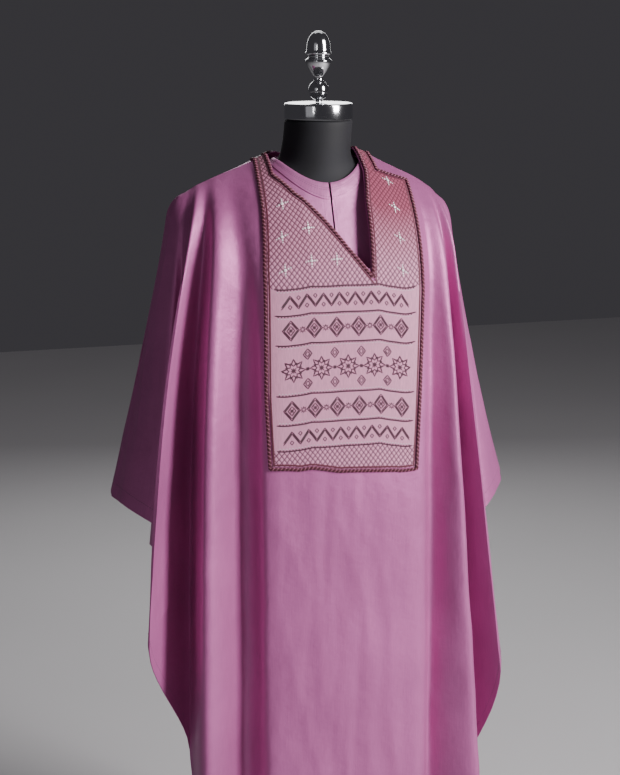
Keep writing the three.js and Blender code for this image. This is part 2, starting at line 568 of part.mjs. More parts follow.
// Everything under a cord's flat underside.
const underFront = solidOf(wall(frontFacets, -12, lift));
const underBack = solidOf(wall(backFacets, 12, -lift));
const seat = underFront.add(underBack);
const neckCordEdge = [
  ...movedEdge(NECK_CUT, -CORD_STRIP / 2),
  ...movedEdge(backNeck, -CORD_STRIP / 2).slice(1, -1),
];
const panelCordEdge = [
  ...movedEdge(PANEL_EDGE, CORD_STRIP / 2),
  ...movedEdge(backBandEdge, -CORD_STRIP / 2).slice(1, -1).reverse(),
];
const neckCord = largest(cord(neckCordEdge).subtract(seat));
const panelCord = largest(cord(panelCordEdge).subtract(seat));

// The embroidered panel and the band round the back neck lie between the two cords.
const bothCords = cord(neckCordEdge, 2 * GAP).add(cord(panelCordEdge, 2 * GAP));
const panelOpening = frontSide(openTopOutline(movedEdge(NECK_CUT, -CORD_STRIP / 2)));
const panelArea = frontSide(openTopOutline(movedEdge(PANEL_EDGE, CORD_STRIP / 2))).subtract(panelOpening);
const panelWall = solidOf(wall(frontGrid, lift, lift + PANEL_WALL));
const robePanel = largest(panelWall.intersect(panelArea).subtract(bothCords));
const bandOpening = behindShoulders(movedEdge(backNeck, -CORD_STRIP / 2));
const bandArea = behindShoulders(movedEdge(backBandEdge, -CORD_STRIP / 2)).subtract(bandOpening);
const bandWallBack = solidOf(wall(backGrid, -lift, -lift - PANEL_WALL));
const backBand = largest(bandWallBack.intersect(bandArea).subtract(bothCords));

// ---------------------------------------------------------------- rings of the form and the kaftan
function ringPoint(ring, angle) {
  const power = (value) => Math.sign(value) * Math.abs(value) ** (2 / ring.square);
  const [c, s] = [Math.cos(angle), Math.sin(angle)];
  const depth = s < 0 ? ring.front : ring.back;
  const end = s < 0 ? ring.fore : ring.aft;
  const x = ring.aside + ring.wide * power(c);
  return new THREE.Vector3(x, depth * power(s), ring.side + (end - ring.side) * s * s);
}

function ringGrid(rings, from, to, count) {
  return rings.map((ring) =>
    Array.from({ length: count + 1 }, (_, k) => ringPoint(ring, from + ((to - from) * k) / count)),
  );
}

function closedForm(rings) {
  const COUNT = 28;
  const grid = ringGrid(rings, 0, 2 * Math.PI, COUNT).map((row) => row.slice(0, COUNT));
  const vertices = grid.flat().flatMap((p) => p.toArray());
  const index = [];
  for (let i = 0; i < grid.length - 1; i++)
    for (let j = 0; j < COUNT; j++) {
      const next = (j + 1) % COUNT;
      const [a, b, c, d] = [i * COUNT + j, i * COUNT + next, (i + 1) * COUNT + next, (i + 1) * COUNT + j];
      index.push(a, d, c, a, c, b);
    }
  const end = (grid.length - 1) * COUNT;
  for (let j = 1; j < COUNT - 1; j++) index.push(0, j, j + 1, end, end + j + 1, end + j);
  return facingOut(vertices, index);
}

const EDGE_ANGLE = 0.004;
const kaftanFrontGrid = ringGrid(KAFTAN_RINGS, -Math.PI + EDGE_ANGLE, -EDGE_ANGLE, 16);
const kaftanBackGrid = ringGrid(KAFTAN_RINGS, EDGE_ANGLE, Math.PI - EDGE_ANGLE, 14);

const neckFront = KAFTAN_RINGS[0].fore;
const slit = box(SLIT_WIDTH, 200, SLIT_LENGTH, SLIT_PLACE, -150, neckFront + 30 - SLIT_LENGTH / 2);
const kaftanFront = solidOf(wall(kaftanFrontGrid, -half, half)).subtract(slit);
const kaftanBack = solidOf(wall(kaftanBackGrid, -half, half));

function neckBandArea() {
  const COUNT = 32;
  const outline = Array.from({ length: COUNT }, (_, k) => {
    const p = ringPoint(KAFTAN_RINGS[0], (2 * Math.PI * k) / COUNT);
    const size = 1 + (0.72 * BAND_WIDTH) / Math.hypot(p.x, p.y);
    return [p.x * size, p.y * size];
  });
  return uprightPrism(outline, 1400, ABOVE_SHOULDERS);
}

const ringRows = KAFTAN_RINGS.slice(0, 3).map((_, i) => [...kaftanFrontGrid[i], ...kaftanBackGrid[i]]);
const bandWall = solidOf(wall(ringRows, lift, lift + BAND_WALL, true));
const kaftanNeckBand = largest(bandWall.intersect(neckBandArea()).subtract(slit));

// How far out the kaftan is at a height and a distance forward; side is 1 for the wearer's left.
function kaftanSide(side, z, fwd) {
  const i = KAFTAN_RINGS.findIndex((ring) => ring.side <= z);
  const [a, b] = [KAFTAN_RINGS[i - 1], KAFTAN_RINGS[i]];
  const t = (a.side - z) / (a.side - b.side);
  const wide = a.wide + (b.wide - a.wide) * t;
  const key = fwd > 0 ? "front" : "back";
  const depth = a[key] + (b[key] - a[key]) * t;
  const square = a.square + (b.square - a.square) * t;
  return side * a.aside + wide * (1 - Math.abs(fwd / depth) ** square) ** (1 / square);
}

// A sleeve hanging empty from its armhole; side is 1 for the wearer's left.
function sleeve(side) {
  const COUNT = 20;
  const angles = Array.from({ length: COUNT }, (_, k) => (2 * Math.PI * k * side) / COUNT);
  const rows = [
    angles.map((angle) => {
      const z = ARMHOLE.z + ARMHOLE.tall * Math.cos(angle);
      const fwd = -ARMHOLE.fore * Math.sin(angle);
      return new THREE.Vector3(side * (kaftanSide(side, z, fwd) + CLOTH + 2 * GAP), -fwd, z);
    }),
    ...SLEEVE_SECTIONS.map((section) =>
      angles.map((angle) => {
        const tilt = (section.tilt * Math.PI) / 180;
        const across = section.across * Math.cos(angle);
        const out = section[side < 0 ? "right" : "left"] + across * Math.sin(tilt);
        return new THREE.Vector3(
          side * out,
          -section.fwd + section.fore * Math.sin(angle),
          section.z + across * Math.cos(tilt),
        );
      }),
    ),
  ];
  return wall(rows, -half, half, true);
}

// ---------------------------------------------------------------- stand
function turned(profile, z, segments) {
  const points = profile.map(([radius, height]) => new THREE.Vector2(radius, height));
  const geometry = new THREE.LatheGeometry(points, segments);
  geometry.rotateX(Math.PI / 2);
  geometry.translate(0, 0, z);
  return geometry;
}

const neckTop = FORM_RINGS[0].side;
const hipEnd = FORM_RINGS.at(-1).side;
const poleFoot = BASE_PROFILE.at(-1)[1];
const capTop = neckTop + GAP + CAP_PROFILE.at(-1)[1];
const poleLength = hipEnd - poleFoot - 2 * GAP;
const pole = new THREE.CylinderGeometry(POLE_RADIUS, POLE_RADIUS, poleLength, 24).rotateX(Math.PI / 2);
pole.translate(0, 0, poleFoot + GAP + poleLength / 2);

// ---------------------------------------------------------------- group
const part = new THREE.Group();
part.name = "agbada";
const pieces = [
  ["robe_front", geometryOf(robeFront), robeCloth],
  ["robe_back", geometryOf(robeBack), robeCloth],
  ["robe_panel", geometryOf(robePanel), panelCloth],
  ["robe_back_band", geometryOf(backBand), panelCloth],
  ["robe_panel_cord", geometryOf(panelCord), cordThread],
  ["robe_neck_cord", geometryOf(neckCord), cordThread],
  ["kaftan_front", geometryOf(kaftanFront), kaftanCloth],
  ["kaftan_back", geometryOf(kaftanBack), kaftanCloth],
  ["kaftan_neck_band", geometryOf(kaftanNeckBand), kaftanCloth],
  ["kaftan_sleeve_left", sleeve(1), kaftanCloth],
  ["kaftan_sleeve_right", sleeve(-1), kaftanCloth],
  ["form_torso", closedForm(FORM_RINGS), formCover],
  ["form_neck_cap", turned(CAP_PROFILE, neckTop + GAP, 32), chrome],
  ["form_finial", turned(FINIAL_PROFILE, capTop + GAP, 16), chrome],
  ["form_pole", pole, standPaint],
  ["form_base", turned(BASE_PROFILE, 0, 40), standPaint],
];
for (const [name, geometry, look] of pieces) {
  const mesh = new THREE.Mesh(geometry, look);
  mesh.name = name;
  geometry.computeVertexNormals();
  part.add(mesh);
}
export default part;
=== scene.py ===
"""Agbada with its kaftan on a limbless dress form: cloth, embroidery and stand, made around the frame."""

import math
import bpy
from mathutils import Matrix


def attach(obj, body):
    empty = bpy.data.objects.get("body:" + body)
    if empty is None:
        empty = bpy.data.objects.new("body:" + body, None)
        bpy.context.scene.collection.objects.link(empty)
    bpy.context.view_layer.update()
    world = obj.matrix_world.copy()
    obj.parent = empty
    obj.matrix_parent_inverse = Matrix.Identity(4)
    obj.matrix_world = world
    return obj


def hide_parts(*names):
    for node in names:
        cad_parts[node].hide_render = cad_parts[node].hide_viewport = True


bl_info = {
    "name": "Agbada on a dress form",
    "version": (1, 0, 0),
    "blender": (4, 5, 0),
    "location": "3D View > Sidebar > Agbada",
    "description": "Makes a pleated agbada with an embroidered yoke panel over its kaftan, on a stand",
    "category": "Object",
}

import bpy
import numpy as np
from bpy.props import FloatProperty, FloatVectorProperty, IntProperty, PointerProperty
from mathutils import Vector, noise

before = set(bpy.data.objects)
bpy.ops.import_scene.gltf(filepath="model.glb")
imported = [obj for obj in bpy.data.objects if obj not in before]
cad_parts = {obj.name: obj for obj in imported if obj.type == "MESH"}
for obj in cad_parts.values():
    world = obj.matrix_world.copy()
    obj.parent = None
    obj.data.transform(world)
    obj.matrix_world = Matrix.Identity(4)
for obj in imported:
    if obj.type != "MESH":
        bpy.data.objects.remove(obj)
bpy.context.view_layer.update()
MM = 0.001

# ---------------------------------------------------------------- sizes, in millimetres
CLOTH = 1.6  # wall of the robe and the kaftan
LIFT = CLOTH / 2 + 0.34  # underside of what lies on the cloth, from the cloth's middle
SEAM = 0.45  # from the shoulder seam's plane to each piece's edge
PANEL_WALL = 1.2
CORD_WIDTH = 7.0
CORD_HEIGHT = 4.0
FOLD_DEPTH = 500.0  # how far down the cloth the fold tables are measured
TIP_RIGHT = 240.0
TIP_LEFT = 217.0
BACK_NECK_DROP = 80.0
BACK_BAND = 25.0
SLIT_PLACE = -3.0
SLIT_WIDTH = 3.0
SLIT_LENGTH = 160.0

# ---------------------------------------------------------------- camera, in metres and degrees
SENSOR = 36.0  # in the camera's own millimetres
FOCAL_SHARE = 1725 / 775  # focal length over the sensor's size
CAMERA_TURN, CAMERA_TILT = -17, 79
CAMERA_REACH, CAMERA_HEIGHT = 3.0, 1.75

# Height of the shoulder line: distance from the centre, wearer's right, wearer's left.
SHOULDER_LINE = np.array(
    [
        (0, 1514, 1514), (60, 1513, 1512), (90, 1504, 1500), (110, 1496, 1489), (148, 1481, 1471),
        (170, 1473, 1461), (186, 1467, 1452), (205, 1459, 1439),
        (TIP_LEFT, 1454, 1423), (TIP_RIGHT, 1440, 1400),
    ]
)

# Folds from the centre out, in columns: line, yoke, cap_out, cap_fwd, out, fwd, late, length.
# line: where the fold leaves the shoulder line; yoke: how long it lies flat; cap_out and cap_fwd: where it leaves
# the body; out and fwd: its place FOLD_DEPTH down; late: how much it spreads at the hem; length: to the hem.
FRONT_RIGHT = [
    (0, 0, 0, 138, 0, 160, 0, 1290),  # centre
    (70, 0, 70, 136, 70, 158, 0, 1290),  # beside centre
    (136, 0, 138, 124, 138, 148, 0, 1290),  # panel crest
    (166, 0, 172, 110, 168, 110, 0, 1300),  # panel valley
    (188, 0, 202, 90, 240, 142, 0, 1330),  # third crest
    (202, 0, 218, 76, 244, 44, 0, 1040),  # third valley
    (213, 0, 234, 68, 318, 132, 0.15, 826),  # second crest
    (221, 0, 244, 58, 276, 74, 0, 720),  # tuck front
    (228, 0, 250, 46, 262, 30, 0, 650),  # tuck back
    (233, 0, 256, 32, 300, 56, 0.6, 590),  # sleeve valley
    (238, 0, 260, 16, 340, 6, 1, 562),  # sleeve face
    (TIP_RIGHT, 0, 262, 0, 353, -44, 1, 559),  # sleeve top
]
FRONT_LEFT = [
    (0, 0, 0, 138, 0, 160, 0, 1290),  # centre
    (70, 0, 70, 136, 70, 158, 0, 1290),  # beside centre
    (144, 0, 144, 122, 144, 148, 0, 1290),  # panel crest
    (166, 0, 168, 108, 172, 116, 0, 1300),  # panel valley
    (182, 0, 190, 90, 214, 142, 1, 1330),  # third crest
    (192, 0, 202, 78, 226, 54, 0.5, 1180),  # third valley
    (199, 0, 214, 68, 258, 122, 1, 915),  # second crest
    (205, 0, 222, 56, 250, 68, 0.5, 748),  # tuck front
    (209, 0, 227, 44, 246, 32, 0.5, 660),  # tuck back
    (212, 0, 231, 28, 288, 58, 0.8, 590),  # sleeve valley
    (215, 0, 233, 14, 330, 12, 1, 562),  # sleeve face
    (TIP_LEFT, 0, 234, 0, 354, -44, 1, 556),  # sleeve top
]
BACK_RIGHT = [
    (0, 78, 0, -124, 0, -132, 0, 1290),  # centre
    (64, 62, 64, -124, 56, -150, 0, 1290),  # back ripple
    (124, 30, 126, -116, 112, -126, 0, 1290),  # back dip
    (162, 8, 166, -104, 156, -152, 0, 1300),  # back crest
    (188, 0, 200, -86, 194, -86, 0, 1340),  # third valley
    (204, 0, 216, -72, 202, -138, 0, 1180),  # third crest
    (216, 0, 232, -60, 226, -72, 0, 900),  # second valley
    (226, 0, 247, -46, 240, -138, 0, 720),  # second crest
    (232, 0, 256, -30, 258, -92, 0, 610),  # sleeve valley
    (237, 0, 261, -14, 338, -80, 1, 562),  # sleeve face
    (TIP_RIGHT, 0, 262, 0, 353, -44, 1, 559),  # sleeve top
]
BACK_LEFT = [
    (0, 78, 0, -124, 0, -132, 0, 1290),  # centre
    (56, 64, 56, -124, 52, -146, 0, 1290),  # back ripple
    (112, 36, 114, -116, 110, -126, 0, 1290),  # back dip
    (152, 12, 154, -104, 158, -154, 0, 1300),  # back crest
    (176, 0, 184, -90, 194, -88, 0, 1340),  # third valley
    (190, 0, 198, -74, 218, -148, 0, 1180),  # third crest
    (200, 0, 212, -60, 220, -72, 0, 900),  # second valley
    (207, 0, 223, -46, 246, -146, 0, 740),  # second crest
    (212, 0, 230, -28, 264, -96, 0, 610),  # sleeve valley
    (215, 0, 233, -13, 336, -82, 1, 562),  # sleeve face
    (TIP_LEFT, 0, 234, 0, 354, -44, 1, 556),  # sleeve top
]
FORM_RINGS = np.array(
    [
        (0, 60, 60, 57, 1562, 1562, 1562, 2),
        (-3, 60, 60, 58, 1530, 1520, 1536, 2),
        (-6, 64, 61, 59, 1500.2, 1476.2, 1497.2, 2),
        (-4, 82, 71, 68, 1486.5, 1447.5, 1477.5, 2),
        (-6, 121, 86, 82, 1462.5, 1408.5, 1438.5, 2.1),
        (-8, 160, 100, 93, 1440.5, 1373.5, 1400.5, 2.2),
        (-8, 191, 111, 101, 1413.5, 1340.5, 1377.5, 2.3),
        (-8, 204, 119, 108, 1387.5, 1311.5, 1345.5, 2.3),
        (-8, 202, 125, 111, 1336.5, 1276.5, 1306.5, 2.3),
        (-8, 188, 122, 107, 1266.5, 1230.5, 1246.5, 2.3),
        (-8, 170, 113, 101, 1178.5, 1158.5, 1168.5, 2.2),
        (-8, 162, 108, 98, 1095.5, 1085.5, 1090.5, 2.2),
        (-8, 168, 112, 104, 1010.5, 1005.5, 1005.5, 2.2),
        (-8, 176, 114, 110, 920.5, 918.5, 918.5, 2.2),
        (-8, 172, 110, 106, 850.5, 850.5, 850.5, 2.2),
        (-8, 150, 92, 90, 828.5, 828.5, 828.5, 2.2),
    ],
    float,
)
KAFTAN_RINGS = np.array(
    [
        (-4, 74, 71, 67, 1496, 1459, 1493, 2),
        (-5, 90, 80, 77, 1485, 1441, 1476, 2),
        (-6, 127, 94, 90, 1461, 1407, 1437, 2.1),
        (-8, 167, 108, 101, 1439, 1372, 1399, 2.2),
        (-8, 199, 119, 109, 1412, 1339, 1376, 2.3),
        (-8, 212, 127, 116, 1382, 1307, 1341, 2.3),
        (-8, 212, 133, 120, 1322, 1270, 1292, 2.3),
        (-8, 206, 136, 121, 1222, 1202, 1212, 2.2),
        (-8, 204, 138, 122, 1062, 1052, 1052, 2.2),
        (-8, 206, 140, 124, 862, 862, 862, 2.2),
        (-8, 210, 142, 126, 662, 662, 662, 2.2),
        (-8, 214, 144, 128, 470, 470, 470, 2.2),
    ],
    float,
)
SLEEVE_SECTIONS = np.array(
    [
        (239, 221, 0, 1357, 17, 40, 40),
        (243, 222, -1, 1338, 14, 40, 75),
        (247, 228, -4, 1292, 12, 41, 90),
        (254, 242, -13, 1192, 14, 41, 90),
        (264, 254, -24, 1062, 17, 40, 90),
        (272, 263, -33, 932, 20, 40, 90),
        (279, 270, -38, 812, 22, 38, 90),
    ],
    float,
)
NECK_CUT = [
    (-92, 0), (-93, 56), (-65, 110), (-19, 170), (11, 213), (47, 256),
    (50, 186), (52, 131), (63, 65), (62, 0),
]
PANEL_EDGE = [
    (84, 0), (87, 54), (146, 37), (144, 84), (142, 162), (140, 248), (132, 442), (126, 564), (96, 581),
    (60, 594), (-12, 592), (-82, 576), (-126, 553), (-130, 434), (-128, 218), (-120, 118),
    (-116, 46), (-111, 0),
]
FINIAL = [
    (5.5, 0), (5.5, 3), (10, 6), (15, 11.5), (17.5, 20.5), (15.5, 29), (10, 35), (8, 39), (8.5, 44), (12, 49),
    (16, 55), (20.5, 63), (22.5, 69), (22, 72), (18, 75.5), (17.5, 78), (22.3, 82), (22.3, 85), (20.5, 88),
    (20, 97), (17.5, 107), (12.5, 115), (6, 120), (1, 121),
]

ARMHOLE = (1378.0, 34.0, 42.0)  # height, half height, half depth
KAFTAN_BAND = 18.0

PER_FOLD = 14  # columns worked out between one fold and the next
STEP = 4.0  # and how far apart down the cloth
STEPS = 345


def table_values(rows, v):
    """Rows of a table read at places v between its lines, on a smooth curve through them."""
    rows = np.asarray(rows, float)
    i = np.clip(np.floor(v).astype(int), 0, len(rows) - 2)
    t = (v - i)[:, None]
    b, c = rows[i], rows[i + 1]
    a = np.where((i > 0)[:, None], rows[np.maximum(i - 1, 0)], 2 * b - c)
    d = np.where((i + 2 < len(rows))[:, None], rows[np.minimum(i + 2, len(rows) - 1)], 2 * c - b)
    return b + 0.5 * t * (c - a + t * (2 * a - 5 * b + 4 * c - d + t * (3 * (b - c) + d - a)))


def smooth(x, low, high):
    """0 below low, 1 above high, and a soft rise between."""
    t = np.clip((x - low) / (high - low), 0, 1)
    return t * t * (3 - 2 * t)


def over_body(s, reach, yoke):
    """How far the cloth has come from the shoulder line, s down it: nearly level at first, then steeper."""
    rest = np.maximum(0, reach - 0.99 * yoke)
    slope = 0.93 - np.minimum(0.38, yoke / 190)
    t = np.minimum(1, (s - yoke) * slope / np.maximum(30, 2 * rest))
    return np.where(s < yoke, 0.99 * s, 0.99 * yoke + rest * (1 - (1 - t) ** 2))


def wander(x, y, seed):
    """Soft noise from -1 to 1 over two arrays."""
    flat = [noise.noise((a, b, seed)) for a, b in zip(np.ravel(x), np.ravel(y))]
    return np.array(flat).reshape(np.shape(x))


def normals_of(points, towards):
    across = np.gradient(points, axis=0)
    down = np.gradient(points, axis=1)
    n = -towards * np.cross(across, down)
    return n / np.maximum(1e-9, np.linalg.norm(n, axis=2, keepdims=True))


class RobeSide:
    """The front or the back of the robe: a smooth surface over places in the fold tables, which run from the
    wearer's right (below 0) to the left, and distances down the cloth. towards is 1 in front, -1 behind."""

    def __init__(self, right, left, towards, crease):
        self.folds = (len(right) - 1, len(left) - 1)
        self.towards = towards
        halves = [self.half(right, -1, towards), self.half(left, 1, towards)]
        self.places = np.concatenate([-halves[0][0][::-1], halves[1][0][1:]])
        self.points = np.concatenate([halves[0][1][::-1], halves[1][1][1:]])
        self.lines = np.concatenate([-halves[0][2][::-1], halves[1][2][1:]])
        self.lengths = np.concatenate([halves[0][3][::-1], halves[1][3][1:]])
        self.normals = normals_of(self.points, towards)
        q, s = np.meshgrid(self.places, np.arange(STEPS) * STEP, indexing="ij")
        self.points = self.points + self.normals * crease(q, s, self.lines[:, None])[..., None]
        self.normals = normals_of(self.points, towards)
        row = self.points[:, int(600 / STEP)]
        self.across = np.concatenate([[0], np.cumsum(np.linalg.norm(np.diff(row, axis=0), axis=1))])
        self.across -= self.across[np.argmin(abs(self.places))]

    @staticmethod
    def half(rows, side, towards):
        v = np.linspace(0, len(rows) - 1, (len(rows) - 1) * PER_FOLD + 1)
        line, yoke, cap_out, cap_fwd, out, fwd, late, length = table_values(rows, v).T[:, :, None]
        yoke = np.maximum(0, yoke)
        s = (np.arange(STEPS) * STEP)[None, :]
        reach = np.hypot(cap_out - line, cap_fwd)
        e = over_body(s, reach, yoke) / reach
        t = s / FOLD_DEPTH
        hip = 1.445 * t * t / (0.445 + t * t)
        x = line + (cap_out - line) * e + (out - cap_out) * (hip + late * (t**1.2 - hip))
        forward = cap_fwd * e + (fwd - cap_fwd) * hip
        run = np.diff(x, axis=1) ** 2 + np.diff(forward, axis=1) ** 2
        drop = np.sqrt(np.maximum(0.02 * STEP**2, STEP**2 - run))
        top = np.interp(line, SHOULDER_LINE[:, 0], SHOULDER_LINE[:, 2 if side > 0 else 1])
        z = top - np.concatenate([np.zeros_like(line), np.cumsum(drop, axis=1)], axis=1)
        shift = towards * SEAM * np.maximum(0, v - (len(rows) - 2))[:, None]
        return v, np.stack([side * x, -forward - shift, z], axis=2), line[:, 0], length[:, 0]

    def place(self, x):
        """The place in the fold tables whose cloth leaves the shoulder line at x."""
        return np.interp(x, self.lines, self.places)

    def length(self, q):
        return np.interp(q, self.places, self.lengths)

    def width(self, q):
        return np.interp(q, self.places, self.across)

    def read(self, grid, q, s):
        i = np.interp(q, self.places, np.arange(len(self.places)))
        j = np.clip(s / STEP, 0, STEPS - 1.001)
        i0 = np.clip(np.floor(i).astype(int), 0, len(self.places) - 2)
        j0 = np.floor(j).astype(int)
        a, b = (i - i0)[..., None], (j - j0)[..., None]
        top = grid[i0, j0] * (1 - a) + grid[i0 + 1, j0] * a
        return top * (1 - b) + (grid[i0, j0 + 1] * (1 - a) + grid[i0 + 1, j0 + 1] * a) * b

    def normal(self, q, s):
        n = self.read(self.normals, q, s)
        return n / np.linalg.norm(n, axis=-1, keepdims=True)

    def at(self, q, s, lift=0.0):
        """Points on the surface, lift outside it, in millimetres."""
        q, s = np.broadcast_arrays(np.asarray(q, float), np.asarray(s, float))
        return self.read(self.points, q, s) + lift * self.normal(q, s)

    def on(self, x, s, lift=0.0):
        """The same, from flat places: x from the centre line, s down from the shoulder line."""
        return self.at(self.place(np.asarray(x, float)), s, lift)


def robe_crease(seed, panel):
    """Uneven soft creases of the robe, outwards in millimetres, quiet at the shoulders and on the panel."""

    def crease(q, s, line):
        away = smooth(s, 40, 260)
        under = 1 - 0.75 * panel * (1 - smooth(abs(line), 136, 160)) * (1 - smooth(s, 560, 640))
        long = wander(q * 2.3, s / 340, seed)
        narrow = wander(q * 5.1 + 0.002 * s, s / 190, seed + 7)
        pulls = 1 - 2 * abs(wander(q * 1.4 - s / 230, s / 300 + q * 0.3, seed + 13))
        height = 1.6 * long + 0.7 * narrow + 1.5 * pulls * smooth(s, 120, 420)
        soft = away * under * np.clip(height + 0.7, -0.9, 4.2)
        if panel:
            for side, low, high, depth in ((-1, 150, 162, 6.0), (1, 153, 163, 3.5)):
                trough = np.exp(-(((side * line - (low + high) / 2) / (high - low)) ** 2))
                soft = soft - depth * trough * smooth(s, 120, 320) * (1 - 0.6 * smooth(s, 640, 1000))
        return soft

    return crease

# ---------------------------------------------------------------- meshes
def new_mesh(name, vertices, faces, uvs=None):
    """A mesh object from places in millimetres; uvs holds one pair for each vertex, in metres."""
    mesh = bpy.data.meshes.new(name)
    mesh.from_pydata((np.asarray(vertices, float) * MM).tolist(), [], [list(f) for f in faces])
    if uvs is not None:
        layer = mesh.uv_layers.new(name="Flat")
        corners = np.zeros(len(mesh.loops), int)
        mesh.loops.foreach_get("vertex_index", corners)
        layer.data.foreach_set("uv", np.asarray(uvs, float)[corners].ravel())
    mesh.validate()
    mesh.shade_smooth()
    obj = bpy.data.objects.new(name, mesh)
    bpy.context.scene.collection.objects.link(obj)
    return obj


def grid_faces(rows, columns, closed=False):
    """Quads between neighbouring points of a grid; closed joins the last column to the first."""
    faces = []
    for i in range(rows - 1):
        for j in range(columns if closed else columns - 1):
            k = (j + 1) % columns
            faces.append((i * columns + j, (i + 1) * columns + j, (i + 1) * columns + k, i * columns + k))
    return faces


def only(obj):
    """Selects and activates one object alone."""
    bpy.ops.object.select_all(action="DESELECT")
    obj.hide_set(False)
    obj.select_set(True)
    bpy.context.view_layer.objects.active = obj


def modify(obj, kind, **settings):
    """Adds a modifier and applies it."""
    modifier = obj.modifiers.new(kind.title(), kind)
    for key, value in settings.items():
        setattr(modifier, key, value)
    only(obj)
    bpy.ops.object.modifier_apply(modifier=modifier.name)


def thicken(obj, wall, offset=0.0):
    """Gives a sheet its wall, in millimetres, round its middle surface unless offset says otherwise."""
    modify(obj, "SOLIDIFY", thickness=wall * MM, offset=offset, use_even_offset=False)
    obj.data.shade_smooth()
    only(obj)
    bpy.ops.object.shade_smooth_by_angle(angle=math.radians(60))


def inside(points, outline):
    """Which flat points lie inside an outline."""
    x, y = points[:, 0], points[:, 1]
    within = np.zeros(len(points), bool)
    for (ax, ay), (bx, by) in zip(outline, outline[1:] + outline[:1]):
        if ay != by:
            crosses = ((ay > y) != (by > y)) & (x < (bx - ax) * (y - ay) / (by - ay) + ax)
            within ^= crosses
    return within


def nearest_on(point, edge):
    """The nearest point of an open line of flat points."""
    best = None
    for (ax, ay), (bx, by) in zip(edge, edge[1:]):
        d = (bx - ax) ** 2 + (by - ay) ** 2
        t = min(1, max(0, ((point[0] - ax) * (bx - ax) + (point[1] - ay) * (by - ay)) / d))
        p = (ax + (bx - ax) * t, ay + (by - ay) * t)
        gap = math.hypot(p[0] - point[0], p[1] - point[1])
        if best is None or gap < best[0]:
            best = (gap, p)
    return best


def moved_edge(edge, distance):
    """A flat line moved sideways, to the left of its direction when x points right and s points down."""
    left = []
    for (ax, ay), (bx, by) in zip(edge, edge[1:]):
        size = math.hypot(bx - ax, by - ay)
        left.append(((by - ay) / size, -(bx - ax) / size))
    moved = []
    for k, (x, y) in enumerate(edge):
        before, after = left[max(0, k - 1)], left[min(k, len(left) - 1)]
        share = distance / (1 + before[0] * after[0] + before[1] * after[1])
        moved.append((x + (before[0] + after[0]) * share, y + (before[1] + after[1]) * share))
    return moved


def cut_open(flat, faces, edge, reach):
    """Leaves out the faces inside an edge that is open at the shoulders, and moves the points round the cut
    onto it where it is within reach. Returns the flat places and the faces left."""
    outline = [(edge[0][0], -50.0), *edge, (edge[-1][0], -50.0)]
    faces = np.asarray(faces)
    middle = flat[faces].mean(axis=1)
    left_out = inside(middle, outline)
    kept = faces[~left_out]
    rim = np.intersect1d(np.unique(faces[left_out]), np.unique(kept))
    flat = flat.copy()
    for k in rim:
        found = nearest_on(flat[k], edge)
        if found[0] < reach and found[1][1] > 0.6:
            flat[k] = found[1]
    return flat, kept


def compact(arrays, faces):
    """Drops the points that no face uses."""
    used, index = np.unique(np.asarray(faces), return_inverse=True)
    return [a[used] for a in arrays], index.reshape(np.shape(faces))


# ---------------------------------------------------------------- robe sheets
def robe_sheet(robe, inner_columns, outer_columns, rows, seam):
    """The robe's front or back, down to its hem, before its neck is cut."""
    right, left = robe.folds
    half = lambda n: np.concatenate(
        [
            np.arange(2 * inner_columns) / inner_columns,
            2 + np.arange((n - 2) * outer_columns + 1) / outer_columns,
        ]
    )
    q = np.concatenate([-half(right)[::-1], half(left)[1:]])
    share = np.linspace(0, 1, rows) ** 1.08
    s = np.maximum(seam, share[:, None] * robe.length(q)[None, :])
    return np.stack([np.broadcast_to(q, s.shape), s], axis=2).reshape(-1, 2), (rows, len(q))


def make_robe_front(robe):
    places, (rows, columns) = robe_sheet(robe, 16, 10, 165, SEAM)
    faces = grid_faces(rows, columns)
    flat = np.stack([np.interp(places[:, 0], robe.places, robe.lines), places[:, 1]], axis=1)
    moved, faces = cut_open(flat, faces, NECK_CUT, 6.0)
    changed = np.any(moved != flat, axis=1)
    places[changed] = np.stack([robe.place(moved[changed, 0]), moved[changed, 1]], axis=1)
    (places,), faces = compact([places], faces)
    uv = np.stack([robe.width(places[:, 0]), -places[:, 1]], axis=1) * MM
    return new_mesh("robe_front_cloth", robe.at(places[:, 0], places[:, 1]), faces, uv)


def back_edge(drop, from_x, to_x, grow=0.0):
    """A curve over the back: a function of the share 0 to 1 of the way round, to flat places."""
    middle, half = (from_x + to_x) / 2, (from_x - to_x) / 2 + grow

    def at(share):
        angle = np.pi * np.asarray(share, float)
        return middle + half * np.cos(angle), (drop + grow) * np.sin(angle)

    return at


NECK_BACK = (BACK_NECK_DROP, NECK_CUT[-1][0], NECK_CUT[0][0])
BAND_BACK = (BACK_NECK_DROP + BACK_BAND, PANEL_EDGE[0][0], PANEL_EDGE[-1][0])


def make_robe_back(robe):
    places, (rows, columns) = robe_sheet(robe, 16, 10, 160, SEAM)
    faces = grid_faces(rows, columns)
    flat = np.stack([np.interp(places[:, 0], robe.places, robe.lines), places[:, 1]], axis=1)
    x, s = back_edge(*NECK_BACK)(np.linspace(0, 1, 60))
    moved, faces = cut_open(flat, faces, list(zip(x, s)), 6.0)
    changed = np.any(moved != flat, axis=1)
    places[changed] = np.stack([robe.place(moved[changed, 0]), moved[changed, 1]], axis=1)
    (places,), faces = compact([places], faces)
    uv = np.stack([robe.width(places[:, 0]), -places[:, 1]], axis=1) * MM
    return new_mesh("robe_back_cloth", robe.at(places[:, 0], places[:, 1]), faces[:, ::-1], uv)


